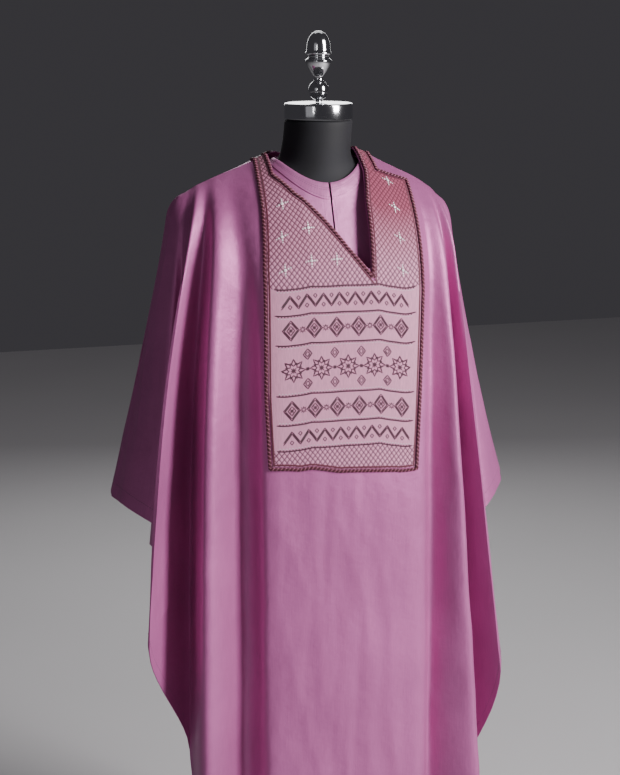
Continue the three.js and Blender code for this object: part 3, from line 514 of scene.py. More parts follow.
PANEL_BANDS = (278.0, 322.0, 372.0, 458.0, 508.0, 552.0)  # levels of the ruled lines across the panel
PANEL_MIDDLE = 3.5  # where the motifs are centred
NET_WIDTH, NET_HEIGHT = 8.6, 11.2  # one lozenge of the net
SUNK = 0.05  # how far stitches are set into the cloth
BEAD_SPOTS = [
    (106, 66), (106, 122), (106, 178), (106, 234), (-92, 122), (-100, 178), (-56, 178),
    (-100, 234), (-56, 234), (-12, 234),
]
BEAD_FLATNESS = 0.6


def panel_sag(x):
    """How far the panel's level lines hang below level at x, where the cloth turns round the chest."""
    return 36.0 * (np.abs(x) / 138.0) ** 3.5


def make_panel(robe):
    """The embroidered panel's sheet over the front, to the cords round it."""
    corner, low_edge = PANEL_EDGE[2], max(s for _, s in PANEL_EDGE)
    right, left = PANEL_EDGE[2:8], PANEL_EDGE[:11:-1]
    rows, columns = 200, 100
    s = np.unique(np.concatenate([np.linspace(SEAM, low_edge, rows), [corner[1]]]))
    across = np.linspace(0, 1, columns)
    low = np.interp(s, [p[1] for p in left], [p[0] for p in left])
    high = np.interp(s, [p[1] for p in right], [p[0] for p in right])
    x = low[:, None] + (high - low)[:, None] * across
    bottom = sorted(PANEL_EDGE[7:13])
    end = np.interp(x, [p[0] for p in bottom], [p[1] for p in bottom])
    s = s[:, None] * (1 - (1 - end / low_edge) * smooth(s[:, None] / low_edge, 0.5, 1))
    flat = np.stack([x, s], axis=2).reshape(-1, 2)
    faces = grid_faces(len(x), columns)
    flat, faces = cut_open(flat, faces, [*PANEL_EDGE[:2], (corner[0] + 0.5, corner[1])], 5.0)
    flat, faces = cut_open(flat, faces, moved_edge(NECK_CUT, -7.0), 5.0)
    (flat,), faces = compact([flat], faces)
    lift = LIFT + PANEL_WALL / 2
    uv = np.stack([flat[:, 0], -flat[:, 1] - panel_sag(flat[:, 0])], axis=1) * MM
    return new_mesh("robe_panel_cloth", robe.on(flat[:, 0], flat[:, 1], lift), faces, uv)


def make_back_band(robe):
    inner, outer = back_edge(*NECK_BACK, grow=7.2), back_edge(*BAND_BACK, grow=0.4)
    share = np.linspace(0, 1, 121)
    (ax, ay), (bx, by) = inner(share), outer(share)
    t = np.linspace(0, 1, 10)[:, None]
    x, s = ax + (bx - ax) * t, np.maximum(SEAM, ay + (by - ay) * t)
    flat = np.stack([x, s], axis=2).reshape(-1, 2)
    uv = flat * np.array([MM, MM])
    points = robe.on(flat[:, 0], flat[:, 1], LIFT + PANEL_WALL / 2)
    return new_mesh("robe_back_band_cloth", points, grid_faces(len(x), len(share)), uv)

# ---------------------------------------------------------------- cords, stitches and beads
def evenly(points, normals, step, closed):
    """Points along a line, evenly spaced, with the normals of the cloth there."""
    if closed:
        points, normals = np.vstack([points, points[:1]]), np.vstack([normals, normals[:1]])
    along = np.concatenate([[0], np.cumsum(np.linalg.norm(np.diff(points, axis=0), axis=1))])
    count = max(2, int(round(along[-1] / step)))
    place = np.linspace(0, along[-1], count + 1)
    place = place[:-1] if closed else place
    read = lambda a: np.stack([np.interp(place, along, a[:, k]) for k in range(3)], axis=1)
    n = read(normals)
    return read(points), n / np.linalg.norm(n, axis=1, keepdims=True), place


def softened(values, width):
    """A closed line's values with each corner rounded over width points on both sides."""
    weights = np.hanning(2 * width + 3)[1:-1]
    padded = np.vstack([values[-width:], values, values[:width]])
    return np.stack([np.convolve(padded[:, k], weights / weights.sum(), "valid") for k in range(3)], axis=1)


def flat_line(edge, spacing):
    """Flat places along an open line, no further apart than spacing."""
    out = []
    for (ax, ay), (bx, by) in zip(edge, edge[1:]):
        steps = max(1, math.ceil(math.hypot(bx - ax, by - ay) / spacing))
        out += [(ax + (bx - ax) * i / steps, ay + (by - ay) * i / steps) for i in range(steps)]
    return np.array([*out, edge[-1]])


def trim_line(front, back, front_edge, back_curve, lift):
    """The closed line of a cord round the neck: down the front and across the back."""
    flat = flat_line(front_edge, 1.5)
    flat[:, 1] = np.maximum(flat[:, 1], SEAM)
    share = np.linspace(0, 1, 220)[1:-1]
    bx, bs = back_curve(share)
    bs = np.maximum(bs, SEAM)
    points = np.vstack([front.on(flat[:, 0], flat[:, 1], lift), back.on(bx, bs, lift)])
    n = np.vstack([front.normal(front.place(flat[:, 0]), flat[:, 1]), back.normal(back.place(bx), bs)])
    points, n, _ = evenly(points, n, 1.0, True)
    return softened(points, 4), softened(n, 8)


def rope(name, points, normals, wide, high, pitch, strands=3, sides=7, step=0.85):
    """A twisted cord along a closed line. Its strands take material 0, and the last one material 1."""
    points, normals, along = evenly(points, normals, step, True)
    turns = max(1, round((along[-1] + step) / pitch))
    tangent = np.roll(points, -1, axis=0) - np.roll(points, 1, axis=0)
    side = np.cross(tangent, normals)
    side /= np.linalg.norm(side, axis=1, keepdims=True)
    count, vertices, faces, uvs, slots = len(points), [], [], [], []
    ring = 2 * np.pi * np.arange(sides) / sides
    for k in range(strands):
        turn = 2 * np.pi * (turns * np.arange(count) / count + k / strands)
        arm, thick = (0.30, 0.17) if k == strands - 1 else (0.26, 0.24)
        across = arm * wide * np.cos(turn)[:, None] + thick * wide * np.cos(ring)[None, :]
        up = arm * high * np.sin(turn)[:, None] + thick * high * np.sin(ring)[None, :]
        p = points[:, None] + side[:, None] * across[..., None] + normals[:, None] * up[..., None]
        start = len(vertices) * count * sides
        vertices.append(p.reshape(-1, 3))
        uv = np.stack(np.broadcast_arrays(along[:, None] * MM, (ring / (2 * np.pi))[None, :]), axis=2)
        uvs.append(uv.reshape(-1, 2))
        for i in range(count):
            n = (i + 1) % count
            for j in range(sides):
                m = (j + 1) % sides
                a, b, c, d = i * sides + j, i * sides + m, n * sides + m, n * sides + j
                faces.append((start + a, start + b, start + c, start + d))
        slots += [1 if k == strands - 1 else 0] * (count * sides)
    obj = new_mesh(name, np.vstack(vertices), faces, np.vstack(uvs))
    obj.data.materials.append(None)
    obj.data.materials.append(None)
    obj.data.polygons.foreach_set("material_index", slots)
    return obj


def ribbons(name, surface, strokes, high):
    """Raised satin stitches, crowned across and tapered at their ends. Each stroke is a flat line with its
    width, lift and material."""
    flat, wide, lift, first, slot = [], [], [], [], []
    for line, width, up, kind in strokes:
        line = flat_line([tuple(p) for p in line], 6.0)
        first.append(len(flat))
        n = len(line)
        flat += line.tolist()
        wide += [width * (0.55 if k in (0, n - 1) and n > 2 else 1) for k in range(n)]
        lift += [up] * n
        slot.append(kind)
    flat, wide, lift = np.array(flat), np.array(wide), np.array(lift)
    points, normals = surface(flat, lift)
    ends = first[1:] + [len(flat)]
    tangent = np.zeros_like(points)
    for a, b in zip(first, ends):
        tangent[a:b] = np.gradient(points[a:b], axis=0)
    side = np.cross(tangent, normals)
    side /= np.maximum(1e-9, np.linalg.norm(side, axis=1, keepdims=True))
    half = side * wide[:, None] / 2
    vertices = np.stack([points - half, points + normals * high, points + half], axis=1).reshape(-1, 3)
    along = np.concatenate([[0], np.cumsum(np.linalg.norm(np.diff(points, axis=0), axis=1))]) * MM
    across = np.array([0.0, 0.5, 1.0])
    uv = np.stack(np.broadcast_arrays(along[:, None], across[None, :]), axis=2).reshape(-1, 2)
    faces, slots = [], []
    for (a, b), kind in zip(zip(first, ends), slot):
        for i in range(a, b - 1):
            for j in (0, 1):
                p = 3 * i + j
                faces.append((p, p + 1, p + 4, p + 3))
                slots.append(kind)
    obj = new_mesh(name, vertices, faces, uv)
    for _ in range(max(slots) + 1):
        obj.data.materials.append(None)
    obj.data.polygons.foreach_set("material_index", slots)
    return obj


def on_robe(robe):
    """Where flat places of the robe are, lifted off it, and the normals there."""

    def surface(flat, lift):
        s = np.maximum(SEAM, flat[:, 1])
        n = robe.normal(robe.place(flat[:, 0]), s)
        return robe.on(flat[:, 0], s) + n * np.asarray(lift)[:, None], n

    return surface


# ---------------------------------------------------------------- motifs of the panel, in millimetres
def turned_to(lines, x, s, size, turn=0.0, flip=1):
    """Copies of a motif's lines, sized, turned in degrees and put at a flat place."""
    c, d = math.cos(math.radians(turn)) * size, math.sin(math.radians(turn)) * size
    return [
        [(x + (px * flip) * c - py * d, s + (px * flip) * d + py * c) for px, py in line] for line in lines
    ]


LOZENGE = [[(0, -1), (0.8, 0), (0, 1), (-0.8, 0), (0, -1)]]
CROSSLET = [[(-1, -1), (1, 1)], [(-1, 1), (1, -1)], [(-1.1, 0), (1.1, 0)], [(0, -1.1), (0, 1.1)]]


def star_lines(points=8, out=1.0, into=0.42):
    ring = [
        (r * math.sin(math.pi * k / points), -r * math.cos(math.pi * k / points))
        for k, r in enumerate([out, into] * points)
    ]
    return [[*ring, ring[0]]]


def zigzag(low, high, s, height, turns):
    """A line across the panel that turns up and down between two places."""
    return [(low + (high - low) * k / turns, s + height / 2 * (-1) ** k) for k in range(turns + 1)]


def panel_strokes(lift, fine):
    """Every embroidered stroke of the panel: flat line, width, lift and material, 0 for plum, 1 for pale."""
    strokes = []

    def draw(lines, width=fine, kind=0):
        strokes.extend((line, width, lift, kind) for line in lines)

    def fence(a, b, tick, gap=5.2):
        """A ruled line with short ticks along one side of it."""
        length = math.hypot(b[0] - a[0], b[1] - a[1])
        ux, uy = (b[0] - a[0]) / length, (b[1] - a[1]) / length
        draw([[a, b]], fine * 1.1)
        for k in range(1, int(length / gap)):
            x, y = a[0] + ux * k * gap, a[1] + uy * k * gap
            draw([[(x, y), (x - uy * tick, y + ux * tick)]], fine)
            draw([[(x - uy * tick * 1.5 - ux, y + ux * tick * 1.5 - uy),
                   (x - uy * tick * 1.5 + ux, y + ux * tick * 1.5 + uy)]], 1.8, 1)

    left, middle = -119.0, PANEL_MIDDLE
    first, last = PANEL_BANDS[0], PANEL_BANDS[-1]
    for level in PANEL_BANDS:
        share = (level - first) / (last - first)
        fence((left, level), (131.0 - 10.0 * share, level), 3 if share < 0.5 else -3)
    centres = [(a + b) / 2 for a, b in zip(PANEL_BANDS, PANEL_BANDS[1:])]
    # Zigzags with a lozenge in each turn.
    for s in (centres[0], centres[4]):
        turns, reach, height = 16, 112.0, 19.0
        for shift in (-1.8, 1.8):
            draw([zigzag(middle - reach, middle + reach, s + shift, height, turns)], fine * 1.1)
        for k in range(1, turns):
            x = middle + reach * (2 * k / turns - 1)
            draw(turned_to(LOZENGE, x, s - 7.5 * (-1) ** k, 3.6))
    # Chains of lozenges one in the other, with small stars between.
    for s in (centres[1], centres[3]):
        for k in range(6):
            x = middle + (k - 2.5) * 39.0
            for size in (17.0, 13.5, 8.0):
                draw(turned_to(LOZENGE, x, s, size))
            draw(turned_to(CROSSLET, x, s, 3.0))
            if k < 5:
                draw(turned_to(star_lines(), x + 19.5, s, 5.6))
    # The broad band in the middle: large stars, with lozenges over and under the spaces between.
    for k in range(5):
        x = middle + (k - 2) * 47.0
        draw(turned_to(star_lines(8, 1, 0.55), x, centres[2], 20.0), fine * 1.1)
        draw(turned_to(star_lines(8, 1, 0.55), x, centres[2], 14.5, 22.5))
        draw(turned_to(CROSSLET, x, centres[2], 4.4))
        if k < 4:
            draw(turned_to(CROSSLET, x + 23.5, centres[2], 2.6))
            for ds in (-25.0, 25.0):
                draw(turned_to(LOZENGE, x + 23.5, centres[2] + ds, 9.0))
                draw(turned_to(LOZENGE, x + 23.5, centres[2] + ds, 4.5))
    return [([(x, s - panel_sag(x)) for x, s in flat_line(line, 6.0)], *rest) for line, *rest in strokes]

# ---------------------------------------------------------------- kaftan and form
def ring_points(rings, angles):
    """Points of level rings; each is a squared ellipse whose front and back lie at their own heights."""
    aside, wide, front, back, side, fore, aft, squareness = (rings[:, k][:, None] for k in range(8))
    c, s = np.cos(angles), np.sin(angles)
    power = lambda value: np.sign(value) * np.abs(value) ** (2 / squareness)
    depth, end = np.where(s < 0, front, back), np.where(s < 0, fore, aft)
    return np.stack([aside + wide * power(c), depth * power(s), side + (end - side) * s * s], axis=2)


def ring_normals(points):
    around = np.roll(points, -1, axis=1) - np.roll(points, 1, axis=1)
    n = -np.cross(around, np.gradient(points, axis=0))
    return n / np.maximum(1e-9, np.linalg.norm(n, axis=2, keepdims=True))


class KaftanBody:
    """The kaftan's round body as a smooth surface over ring places and angles."""

    def __init__(self):
        self.tight = 0.5  # how far inside its rings it is kept, clear of the robe
        self.places = np.linspace(0, len(KAFTAN_RINGS) - 1, 133)
        self.angles = np.linspace(-math.pi, math.pi, 361)[:-1]
        points = ring_points(table_values(KAFTAN_RINGS, self.places), self.angles[None, :])
        normals = ring_normals(points)
        v, a = np.meshgrid(self.places, self.angles, indexing="ij")
        soft = smooth(v, 6.5, 9)
        waves = 2.2 * wander(3 * np.cos(a), 3 * np.sin(a) + v * 0.3, 4.0) * soft
        self.points = points + normals * (np.clip(waves, -1.5, 1.5) - self.tight)[..., None]
        self.normals = ring_normals(self.points)

    def at(self, v, angle, lift=0.0):
        i = np.clip(np.interp(v, self.places, np.arange(len(self.places))), 0, len(self.places) - 1.001)
        j = (np.asarray(angle) + math.pi) / (2 * math.pi) * len(self.angles)
        i, j = np.broadcast_arrays(i, j)
        i0, j0 = np.floor(i).astype(int), np.floor(j).astype(int)
        a, b = (i - i0)[..., None], (j - j0)[..., None]
        n = len(self.angles)
        read = lambda g: (g[i0, j0 % n] * (1 - a) + g[i0 + 1, j0 % n] * a) * (1 - b) + (
            g[i0, (j0 + 1) % n] * (1 - a) + g[i0 + 1, (j0 + 1) % n] * a) * b
        normal = read(self.normals)
        normal /= np.linalg.norm(normal, axis=-1, keepdims=True)
        return read(self.points) + normal * np.asarray(lift)[..., None] if np.ndim(lift) else (
            read(self.points) + normal * lift), normal

    def front_angle(self, v, x):
        """The angle at the front whose point is x from the centre."""
        ring = table_values(KAFTAN_RINGS, np.atleast_1d(np.asarray(v, float)))
        c = np.clip((x - ring[:, 0]) / ring[:, 1], -1, 1)
        return -np.arccos(np.sign(c) * np.abs(c) ** (ring[:, 7] / 2))


def make_kaftan_body(body):
    """Front and back in one, with the neck slit cut."""
    v = np.concatenate([np.linspace(0, 5, 60)[:-1], np.linspace(5, 11, 56)])
    around = 176
    angles = np.linspace(-math.pi, math.pi, around + 1)[:-1]
    grid = np.broadcast_to(angles, (len(v), around)).copy()
    edges = (SLIT_PLACE - SLIT_WIDTH / 2, SLIT_PLACE + SLIT_WIDTH / 2)
    k = int(np.argmin(abs(angles + math.pi / 2)))
    for column, x in zip((k - 1, k), edges):
        target = body.front_angle(v, x)
        move = target - grid[:, column]
        hat = np.clip(1 - abs(np.arange(around) - column) / 8, 0, 1)
        if column == k:
            hat[: k] = 0
        else:
            hat[k:] = 0
        grid += move[:, None] * hat[None, :]
    points, _ = body.at(np.broadcast_to(v[:, None], grid.shape), grid)
    faces = np.array(grid_faces(len(v), around, closed=True))
    columns, low = faces[:, 0] % around, points.reshape(-1, 3)[faces][:, :, 2].mean(axis=1)
    keep = ~((columns == k - 1) & (low > KAFTAN_RINGS[0, 5] + 30 - SLIT_LENGTH))
    drop = np.concatenate([[0], np.cumsum(np.linalg.norm(np.diff(points[:, k], axis=0), axis=1))])
    uv = np.stack(
        [np.broadcast_to(angles * 200, grid.shape), -np.broadcast_to(drop[:, None], grid.shape)], axis=2
    )
    (flat_points, uv), faces = compact([points.reshape(-1, 3), uv.reshape(-1, 2) * MM], faces[keep])
    return new_mesh("kaftan_body_cloth", flat_points, faces, uv)


def band_end(body, angle, reach):
    """How far down the rings the neck band comes at an angle."""
    start, _ = body.at(np.zeros_like(angle), angle)
    size = np.hypot(start[:, 0], start[:, 1])
    low, high = np.zeros_like(angle), np.full_like(angle, 3.0)
    for _ in range(30):
        middle = (low + high) / 2
        p, _ = body.at(middle, angle)
        nearer = np.hypot(p[:, 0], p[:, 1]) < size + reach
        low, high = np.where(nearer, middle, low), np.where(nearer, high, middle)
    return low


def make_kaftan_band(body):
    """The band round the kaftan's neck, open at the slit, with a rolled upper edge."""
    a0 = float(body.front_angle(0.0, SLIT_PLACE + SLIT_WIDTH / 2 + 0.6)[0])
    a1 = float(body.front_angle(0.0, SLIT_PLACE - SLIT_WIDTH / 2 - 0.6)[0])
    angle = np.linspace(a0, a1 + 2 * math.pi, 150)
    wrapped = (angle + math.pi) % (2 * math.pi) - math.pi
    end = band_end(body, wrapped, 0.72 * KAFTAN_BAND)
    t = np.linspace(0, 1, 12)
    lift = LIFT + 0.5 - 1.4 * smooth(1 - t, 0.85, 1.02) * 0.6
    v = t[:, None] * end[None, :]
    points, _ = body.at(v, np.broadcast_to(wrapped, v.shape), np.broadcast_to(lift[:, None], v.shape))
    down = np.broadcast_to(-t[:, None] * KAFTAN_BAND, v.shape)
    uv = np.stack([np.broadcast_to(angle * 70, v.shape), down], axis=2).reshape(-1, 2) * MM
    return new_mesh("kaftan_neck_band_cloth", points.reshape(-1, 3), grid_faces(*v.shape), uv)


def kaftan_side(side, z, forward):
    """How far out the kaftan is at a height and a distance forward."""
    i = int(np.argmax(KAFTAN_RINGS[:, 4] <= z))
    a, b = KAFTAN_RINGS[i - 1], KAFTAN_RINGS[i]
    ring = a + (b - a) * (a[4] - z) / (a[4] - b[4])
    depth = ring[2] if forward > 0 else ring[3]
    return side * ring[0] + ring[1] * (1 - abs(forward / depth) ** ring[7]) ** (1 / ring[7])


def make_kaftan_sleeve(name, side):
    """A sleeve that hangs empty from its armhole, flattened and softly creased; side is 1 for the left."""
    around = 72
    angles = 2 * np.pi * np.arange(around) * side / around
    z0, tall, fore = ARMHOLE
    first = []
    for angle in angles:
        z, forward = z0 + tall * math.cos(angle), -fore * math.sin(angle)
        first.append((side * (kaftan_side(side, z, forward) + CLOTH + 0.6), -forward, z))
    rows = [np.array(first)]
    for right, left, forward, z, across, depth, tilt in SLEEVE_SECTIONS:
        tilt, wide = math.radians(tilt), across * np.cos(angles)
        out = (right if side < 0 else left) + wide * math.sin(tilt)
        rows.append(
            np.stack([side * out, -forward + depth * np.sin(angles), z + wide * math.cos(tilt)], axis=1)
        )
    rows = np.array(rows)
    v = np.linspace(0, len(rows) - 1, 84)
    points = table_values(rows.reshape(len(rows), -1), v).reshape(len(v), around, 3)
    normals = ring_normals(points) * side
    p, a = np.meshgrid(v, angles, indexing="ij")
    crease = wander(2.2 * np.cos(a) + 0.4 * p, 1.6 * np.sin(a) - 0.8 * p, 9.0 + side)
    points = points + normals * (np.clip(2.0 * crease, -1.2, 0.6) * smooth(p, 1, 2.5))[..., None]
    drop = np.concatenate([[0], np.cumsum(np.linalg.norm(np.diff(points[:, 0], axis=0), axis=1))])
    uv = np.stack([a * 30 * side, -np.broadcast_to(drop[:, None], p.shape)], axis=2).reshape(-1, 2) * MM
    faces = np.array(grid_faces(len(v), around, closed=True))
    return new_mesh(name, points.reshape(-1, 3), faces[:, ::side], uv)


def outward(obj):
    """Turns all faces of a closed piece outwards."""
    only(obj)
    bpy.ops.object.mode_set(mode="EDIT")
    bpy.ops.mesh.select_all(action="SELECT")
    bpy.ops.mesh.normals_make_consistent(inside=False)
    bpy.ops.object.mode_set(mode="OBJECT")


def settle(obj):
    """Puts a modelled piece's place and size into its mesh."""
    only(obj)
    bpy.ops.object.transform_apply(location=True, rotation=True, scale=True)


def drawn_up(name, profile, segments, bevel):
    """A turned piece: a disc drawn up ring by ring along a profile of (radius, height), its edges rounded."""
    bpy.ops.object.select_all(action="DESELECT")
    radius, z = profile[0]
    bpy.ops.mesh.primitive_circle_add(
        vertices=segments, radius=radius * MM, fill_type="NGON", location=(0, 0, z * MM)
    )
    obj = bpy.context.object
    obj.name = obj.data.name = name
    bpy.ops.object.mode_set(mode="EDIT")
    bpy.ops.mesh.select_all(action="SELECT")
    for (r, z), (next_r, next_z) in zip(profile, profile[1:]):
        bpy.ops.mesh.extrude_region_move(TRANSFORM_OT_translate={"value": (0, 0, (next_z - z) * MM)})
        bpy.ops.transform.resize(value=(next_r / r, next_r / r, 1))
    bpy.ops.object.mode_set(mode="OBJECT")
    settle(obj)
    outward(obj)
    if bevel:
        modify(obj, "BEVEL", width=bevel * MM, segments=3, limit_method="ANGLE", angle_limit=math.radians(38))
    obj.data.shade_smooth()
    only(obj)
    bpy.ops.object.shade_smooth_by_angle(angle=math.radians(35))
    return obj


def curve_through(profile, parts):
    """A smoother profile through the same points."""
    rows = np.array(profile, float)
    v = np.linspace(0, len(rows) - 1, (len(rows) - 1) * parts + 1)
    return [tuple(p) for p in table_values(rows, v)]


def make_torso():
    """The limbless form: a disc drawn up ring by ring, each ring shaped, its ends closed and softened."""
    rings = table_values(FORM_RINGS, np.linspace(len(FORM_RINGS) - 1, 0, 46))
    rings[:, 1:4] -= 0.8
    bpy.ops.object.select_all(action="DESELECT")
    bpy.ops.mesh.primitive_circle_add(vertices=96, radius=0.1, fill_type="NGON", location=(0, 0, 0))
    obj = bpy.context.object
    obj.name = obj.data.name = "form_torso_cover"
    bpy.ops.object.mode_set(mode="EDIT")
    bpy.ops.mesh.select_all(action="SELECT")
    for _ in rings[1:]:
        bpy.ops.mesh.extrude_region_move(TRANSFORM_OT_translate={"value": (0, 0, 0.01)})
    bpy.ops.object.mode_set(mode="OBJECT")
    co = np.zeros(len(obj.data.vertices) * 3)
    obj.data.vertices.foreach_get("co", co)
    co = co.reshape(-1, 3)
    level = np.round(co[:, 2] / 0.01).astype(int)
    angle = np.arctan2(co[:, 1], co[:, 0])
    for k, ring in enumerate(rings):
        on = level == k
        co[on] = ring_points(ring[None, :], angle[on][None, :])[0] * MM
    obj.data.vertices.foreach_set("co", co.ravel())
    outward(obj)
    modify(obj, "BEVEL", width=5 * MM, segments=4, limit_method="ANGLE", angle_limit=math.radians(50))
    obj.data.shade_smooth()
    return obj

# ---------------------------------------------------------------- materials
class Wire:
    """One output in a material. Arithmetic on it adds Math nodes."""

    def __init__(self, shader, socket):
        self.shader, self.socket = shader, socket

    def math(self, operation, *values, clamp=False):
        settings = {"operation": operation, "use_clamp": clamp}
        return self.shader.node("ShaderNodeMath", settings, dict(enumerate((self, *values))))

    def __add__(self, other):
        return self.math("ADD", other)

    def __sub__(self, other):
        return self.math("SUBTRACT", other)

    def __rsub__(self, other):
        return self.shader.node("ShaderNodeMath", {"operation": "SUBTRACT"}, {0: other, 1: self})

    def __mul__(self, other):
        return self.math("MULTIPLY", other)

    def __truediv__(self, other):
        return self.math("DIVIDE", other)

    __radd__, __rmul__ = __add__, __mul__

    def share(self):
        """What is left above the whole number below."""
        return self.math("FRACT")

    def wave(self):
        return self.math("SINE")

    def clamped(self):
        return self.math("ADD", 0.0, clamp=True)

    def rise(self, low, high):
        """0 below low and 1 above high, with a soft step between."""
        settings = {"interpolation_type": "SMOOTHSTEP"}
        return self.shader.node("ShaderNodeMapRange", settings, {0: self, 1: low, 2: high, 3: 0.0, 4: 1.0})


class Shader:
    """A new material with a Principled shader, and what builds its nodes."""

    def __init__(self, name, **constants):
        self.material = bpy.data.materials.new(name)
        self.material.use_nodes = True
        self.tree = self.material.node_tree
        self.surface = next(n for n in self.tree.nodes if n.type == "BSDF_PRINCIPLED")
        for key, value in constants.items():
            self.surface.inputs[key.replace("_", " ").title().replace("Ior", "IOR")].default_value = value

    def node(self, kind, settings=None, sockets=None, output=0):
        """Adds a node: its settings first, then values or wires on its sockets. Returns one output."""
        made = self.tree.nodes.new(kind)
        for key, value in (settings or {}).items():
            if key == "stops":
                for stop, (place, colour) in zip(made.color_ramp.elements, value):
                    stop.position, stop.color = place, (*colour, 1)
            else:
                setattr(made, key, value)
        for key, value in (sockets or {}).items():
            if isinstance(value, Wire):
                self.tree.links.new(value.socket, made.inputs[key])
            elif made.inputs[key].type == "RGBA":
                made.inputs[key].default_value = (*value[:3], 1)
            else:
                made.inputs[key].default_value = value
        return Wire(self, made.outputs[output])

    def flat(self):
        """The cloth's own flat places, as a vector and as its two parts."""
        uv = self.node("ShaderNodeUVMap", {"uv_map": "Flat"})
        split = self.node("ShaderNodeSeparateXYZ", None, {0: uv})
        return uv, split, Wire(self, split.socket.node.outputs[1])

    def place(self):
        return self.node("ShaderNodeTexCoord", None, None, "Object")

    def stretched(self, vector, scale):
        return self.node("ShaderNodeMapping", None, {"Vector": vector, "Scale": scale})

    def noise(self, vector, scale, detail=2.0, rough=0.5):
        sockets = {"Vector": vector, "Scale": scale, "Detail": detail, "Roughness": rough}
        return self.node("ShaderNodeTexNoise", None, sockets)

    def mix(self, factor, a, b):
        return self.node("ShaderNodeMix", {"data_type": "RGBA"}, {0: factor, 6: a, 7: b}, 2)

    def finish(self, colour, roughness=None, bump=None, distance=1.0, metallic=None):
        """Joins what varies to the surface; distance is the height of the bump, in millimetres."""
        links = {"Base Color": colour, "Roughness": roughness, "Metallic": metallic}
        if bump is not None:
            sockets = {"Height": bump, "Strength": 1.0, "Distance": distance * MM}
            links["Normal"] = self.node("ShaderNodeBump", None, sockets)
        for key, wire in links.items():
            if wire is not None:
                self.tree.links.new(wire.socket, self.surface.inputs[key])
        return self.material


def tinted(colour, amount):
    return tuple(min(1.0, max(0.0, c * amount)) for c in colour[:3])


def satin(name, colour, settings):
    """Thin woven cloth with a satin sheen: fine threads, slubs along the grain and slightly uneven dye."""
    shade = Shader(name, sheen_weight=0.05, metallic=settings.lustre, specular_ior_level=0.28)
    shade.surface.inputs["Sheen Tint"].default_value = (*tinted(colour, 1.5), 1)
    uv, across, down = shade.flat()
    threads = (across * 7600.0).wave() * (down * 7600.0).wave()
    slubs = shade.noise(shade.stretched(uv, (900.0, 26.0, 1.0)), 1.0, 3.0)
    cloud = shade.noise(shade.place(), 5.0, 3.0)
    rumple = shade.noise(shade.place(), 34.0, 3.0, 0.55)
    dye = shade.mix((slubs * 0.35 + cloud * 0.65).rise(0.3, 0.7), tinted(colour, 0.88), tinted(colour, 1.1))
    roughness = settings.roughness + (slubs - 0.5) * 0.14 + (cloud - 0.5) * 0.1
    return shade.finish(dye, roughness, rumple * 1.0 + slubs * 0.10 + threads * 0.012, 1.6)


def panel_ground(name, settings):
    """The panel's ground: a net of lozenges outlined in plum above and at the foot, even weave between."""
    shade = Shader(name, sheen_weight=0.15, sheen_roughness=0.5)
    uv, across, down = shade.flat()
    wide, tall = NET_WIDTH * MM, NET_HEIGHT * MM
    rising, falling = (across / wide + down / tall).share(), (across / wide - down / tall).share()
    edges = 1.0 - (rising.rise(0.05, 0.19) * (1.0 - rising.rise(0.81, 0.95))
                   * falling.rise(0.05, 0.19) * (1.0 - falling.rise(0.81, 0.95)))
    crown = (rising * math.pi).wave() * (falling * math.pi).wave()
    first, last = -PANEL_BANDS[0] * MM, -PANEL_BANDS[-1] * MM
    netted = down.rise(first - 0.0005, first + 0.0005) + (1.0 - down.rise(last - 0.0005, last + 0.0005))
    rose = (across.rise(-0.01, 0.08) * down.rise(-0.25, -0.09) + 0.22 * down.rise(-0.27, -0.2)
            + (0.0 - across).rise(0.085, 0.115) * down.rise(-0.12, 0.0) * 0.5).clamped()
    slubs = shade.noise(shade.stretched(uv, (700.0, 60.0, 1.0)), 1.0, 3.0)
    specks = shade.noise(uv, 900.0, 2.0)
    ground, thread, warm = settings.ground_colour, settings.thread_colour, settings.rose_colour
    pale = shade.mix(slubs.rise(0.3, 0.7), tinted(ground, 0.9), tinted(ground, 1.12))
    laid = shade.mix(rose * 0.85, pale, warm)
    worked = shade.mix(edges * (0.72 + specks * 0.3), laid, shade.mix(rose, thread, tinted(warm, 0.34)))
    colour = shade.mix(netted, shade.mix(specks.rise(0.35, 0.75) * 0.35, pale, tinted(ground, 0.78)), worked)
    weave = (across * 4200.0).wave() * (down * 4200.0).wave() * 0.06 + slubs * 0.12
    return shade.finish(colour, 0.62 + specks * 0.2, weave + crown * netted * (1.0 - edges * 0.5) * 0.8, 0.7)


def thread(name, colour, twist=900.0, rough=0.48, ply_shade_share=0.35):
    """Embroidery or cord thread: fine plies across the run of the stitch, with painted shade in the grooves
    between the plies and painted light on their crowns.
    """
    shade = Shader(name, sheen_weight=0.2, sheen_roughness=0.4)
    _, along, around = shade.flat()
    plies = ((along * twist + around) * 6.2832).wave() * 0.5 + 0.5
    patch = shade.noise(shade.place(), 60.0, 2.0)
    # Painted shade and light: the colour darkens in the ply grooves and lightens on the ply crowns, and patch
    # varies it at random.
    dye = shade.mix(plies * ply_shade_share + patch * 0.4, tinted(colour, 0.62), tinted(colour, 1.35))
    return shade.finish(dye, rough + patch * 0.15, plies, 0.25)


def matt_cover(name, colour):
    """Black stretch cover of the form: fine knit and a little lint."""
    shade = Shader(name, sheen_weight=0.04, sheen_roughness=0.5)
    place = shade.place()
    knit = shade.noise(shade.stretched(place, (1500.0, 1500.0, 900.0)), 1.0, 1.0)
    lint = shade.noise(place, 14.0, 4.0)
    dye = shade.mix(lint.rise(0.35, 0.75), tinted(colour, 0.7), tinted(colour, 1.7))
    return shade.finish(dye, 0.62 + lint * 0.2, knit, 0.15)


